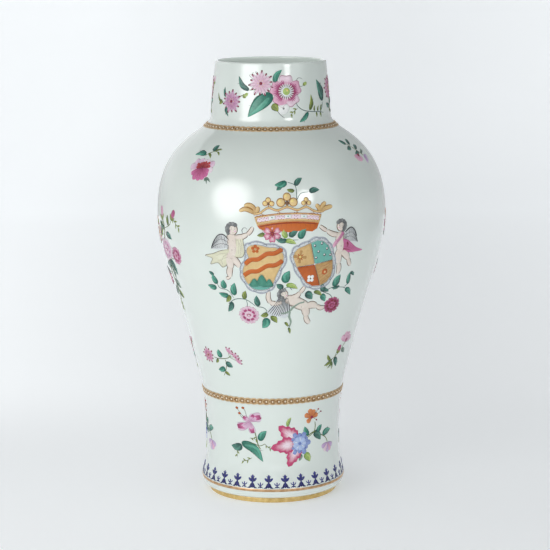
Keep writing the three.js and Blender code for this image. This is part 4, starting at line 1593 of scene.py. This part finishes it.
gilt_ground = gilding_material("gilt_ground", (0.46, 0.29, 0.14), (0.30, 0.16, 0.065), 0.42)
gilt_chain = gilding_material("gilt_chain", (0.74, 0.55, 0.34), (0.56, 0.37, 0.19), 0.34)
gilt_bead = gilding_material("gilt_bead", (0.98, 0.92, 0.80), (0.92, 0.80, 0.62), 0.28)
gilt_copper = gilding_material("gilt_copper", (0.70, 0.46, 0.27), (0.52, 0.30, 0.15), 0.30)
gilt_foot = gilding_material("gilt_foot", (0.82, 0.61, 0.27), (0.66, 0.44, 0.16), 0.36)
pigment_materials.update(chain=gilt_chain, bead=gilt_bead)
chain_band("neck_gilt_chain", "neck_gilt_band", 72, 5.3)
chain_band("skirt_gilt_chain", "skirt_gilt_band", 72, 6.0)
plain_band("foot_copper_line", "foot_gilt_line", FOOT_RADIUS, 2, 7, gilt_copper)
plain_band("foot_gold_band", "foot_gilt_band", FOOT_BAND_RADIUS, 6, 9, gilt_foot)
blue_border()


def back_bouquet(brush):
    """A large bouquet tied with a ribbon: a peony, two roses, daisies and a lily over long leaves."""
    for points in (
        [(0, -34), (-1, -20), (0, 0), (2, 14)], [(0, -32), (8, -18), (20, -6), (28, 8)],
        [(0, -32), (-9, -18), (-20, -6), (-27, 10)], [(-1, -18), (-8, 8), (-12, 26), (-9, 37)],
        [(1, -18), (9, 10), (13, 24), (19, 35)], [(0, -32), (14, -26), (28, -22), (37, -15)],
        [(0, -32), (-14, -26), (-28, -22), (-37, -13)], [(0, -34), (3, -44), (1, -52)],
        [(0, -34), (-4, -43), (-10, -50)],
    ):
        twig(brush, points, 0.95)
    leaves(
        brush,
        ((2, 12), (-4, 28), 7.5, "teal"), ((10, 12), (3, 24), 6.4, "emerald"),
        ((-8, 6), (-20, 20), 7.0, "emerald"), ((12, 14), (25, 22), 6.8, "teal"),
        ((20, -6), (32, -2), 6.6, "emerald"), ((-20, -6), (-33, -3), 7.0, "teal"),
        ((14, -26), (24, -35), 7.4, "teal"), ((-14, -26), (-25, -35), 7.2, "emerald"),
        ((28, -22), (36, -29), 5.6, "sage"), ((-28, -22), (-37, -27), 5.4, "sage"),
        ((3, -20), (15, -21), 6.0, "emerald"), ((-3, -20), (-14, -18), 6.0, "olive"),
        ((13, 24), (9, 35), 5.0, "olive"), ((-12, 25), (-22, 31), 5.2, "olive"),
        ((2, -44), (9, -50), 4.2, "olive"), ((27, 6), (37, 9), 5.0, "lime"),
        ((-26, 8), (-37, 12), 5.0, "olive"), ((0, -34), (-10, -37), 4.6, "emerald"),
        ((0, -34), (11, -39), 4.6, "teal"),
    )
    for tip, level in (
        ((-14, 8), 0), ((12, 11), 0), ((-1, 15), 1), ((-13, -6), 1), ((11, -8), 1), ((-1, -14), 2),
    ):
        serrated(brush, (0, 1), tip, 12, level=level)
    brush.fan(0, 1, range(0, 360, 60), 6.2, 3.8, "sky", (0.0, 1.1), (0.8, 0.5), level=5)
    brush.fan(0, 1, range(30, 360, 60), 7.4, 3.8, "sky", (0.0, 1.1), (0.8, 0.5), level=6)
    brush.dot(0, 1, 2.8, "yellow", 0.3, level=8)
    rose(brush, 24, 5, 8.6, 8.2, pigment="pink", seed=15)
    rose(brush, -23.5, 6.5, 8.8, 8.2, pigment="magenta", deep="crimson", seed=50)
    blossom(brush, 32, -13.5, 7, pigment="mauve", start=80)
    daisy(brush, -32, -12, 7.6, 13)
    daisy(brush, -9, 33, 8.0, 13, pigment="blush", start=6)
    for level in (0, 1):
        brush.fan(17, 32, (35 + 40 * level, 115 + 40 * level), 11, 4.6, "orange", (0.9, 0.1), level=level)
    brush.fan(17, 32, (35, 75, 115, 155), 9, 0.6, "iron_red", (0.9, 0.5), TAIL, level=2)
    bud(brush, (2, 22), (3, 33), 5.4, "pink")
    bud(brush, (37, 9), (43, 15), 4.6, "magenta")
    bud(brush, (-37, 12), (-43, 18), 4.6, "pink")
    sprig(brush, [(36, -14), (42, -10), (46, -4)], 4.0)
    sprig(brush, [(-36, -13), (-42, -8), (-45, -1)], 4.0)
    sprig(brush, [(1, -50), (0, -56), (3, -61)], 3.6, count=5)
    for way in (-1, 1):
        bow = [(0, -33), (6 * way, -29), (9.5 * way, -32), (6 * way, -36.5), (0, -33.4)]
        brush.stroke(bow, 2.4, "pink", (0.6, 0.2), (0.1, 0.1), level=4)
        brush.stroke(bow, 0.5, "crimson", (0.6, 0.6), LINE, level=6)
        end = [(0, -33.5), (4 * way, -40), (8.5 * way, -43), (10 * way, -48)]
        brush.stroke(end, 2.4, "pink", (0.7, 0.1), (0.1, 0.2), level=4)
    brush.dot(0, -33.4, 1.9, "magenta", 0.4, level=6)


def side_flower(brush):
    """A single pink flower between the two sprays of the neck."""
    twig(brush, [(-2, -16), (1, -9), (0, -2)])
    leaves(
        brush,
        ((0, -9), (9, -6), 4.6, "emerald"), ((0, -11), (-9, -8), 4.6, "teal"),
        ((-1, -14), (6, -17), 3.0, "olive"),
    )
    twig(brush, [(0, -5), (7, 2), (9, 8)], 0.6)
    bud(brush, (9, 7), (11, 14), 4.2, "pink")
    daisy(brush, -1, 4, 9.4, 14)


def lower_posy(brush):
    """A small blossom with two buds above the skirt's chain."""
    twig(brush, [(0, -12), (1, -4), (0, 2)])
    leaves(
        brush,
        ((1, -5), (10, -2), 5.4, "emerald"), ((0, -7), (-9, -4), 5.2, "teal"),
        ((0, -11), (6, -15), 3.6, "olive"),
    )
    twig(brush, [(1, -4), (9, 5), (12, 10)], 0.6)
    bud(brush, (12, 9), (15, 15), 4.0, "magenta")
    blossom(brush, 0, 5, 7.4, pigment="pink")
    sprig(brush, [(-2, -3), (-9, 2), (-12, 8)], 3.0, count=4)


MOTIFS = (
    ("shoulder_posy_left", shoulder_posy, 277, 88, -40),
    ("shoulder_spray_right", shoulder_spray, 289, 80, 62),
    ("shoulder_posy_back", shoulder_posy, 277, 88, 142),
    ("shoulder_spray_back", shoulder_spray, 287, 82, -122),
    ("daisy_posy_left", daisy_posy, 121, 66, -38),
    ("bud_posy_right", bud_posy, 124, 67, 52),
    ("daisy_posy_back", daisy_posy, 121, 66, 140),
    ("bud_posy_back", bud_posy, 124, 67, -132),
    ("lower_posy_left", lower_posy, 119, 66, -88),
    ("lower_posy_right", lower_posy, 119, 66, 98),
    ("side_bouquet_left", side_bouquet, 203, 88, -69),
    ("side_bouquet_right", side_bouquet, 208, 88, 98),
    ("back_bouquet", back_bouquet, 214, 92, 188),
    ("neck_spray_back", neck_spray, *NECK, 180),
    ("neck_flower_left", side_flower, *NECK, -88),
    ("neck_flower_right", side_flower, *NECK, 78),
    ("foot_spray_front", foot_spray, *FOOT, 0),
    ("foot_spray_right", foot_spray, *FOOT, 120),
    ("foot_spray_left", foot_spray, *FOOT, -120),
)
for motif in MOTIFS:
    paint(*motif)
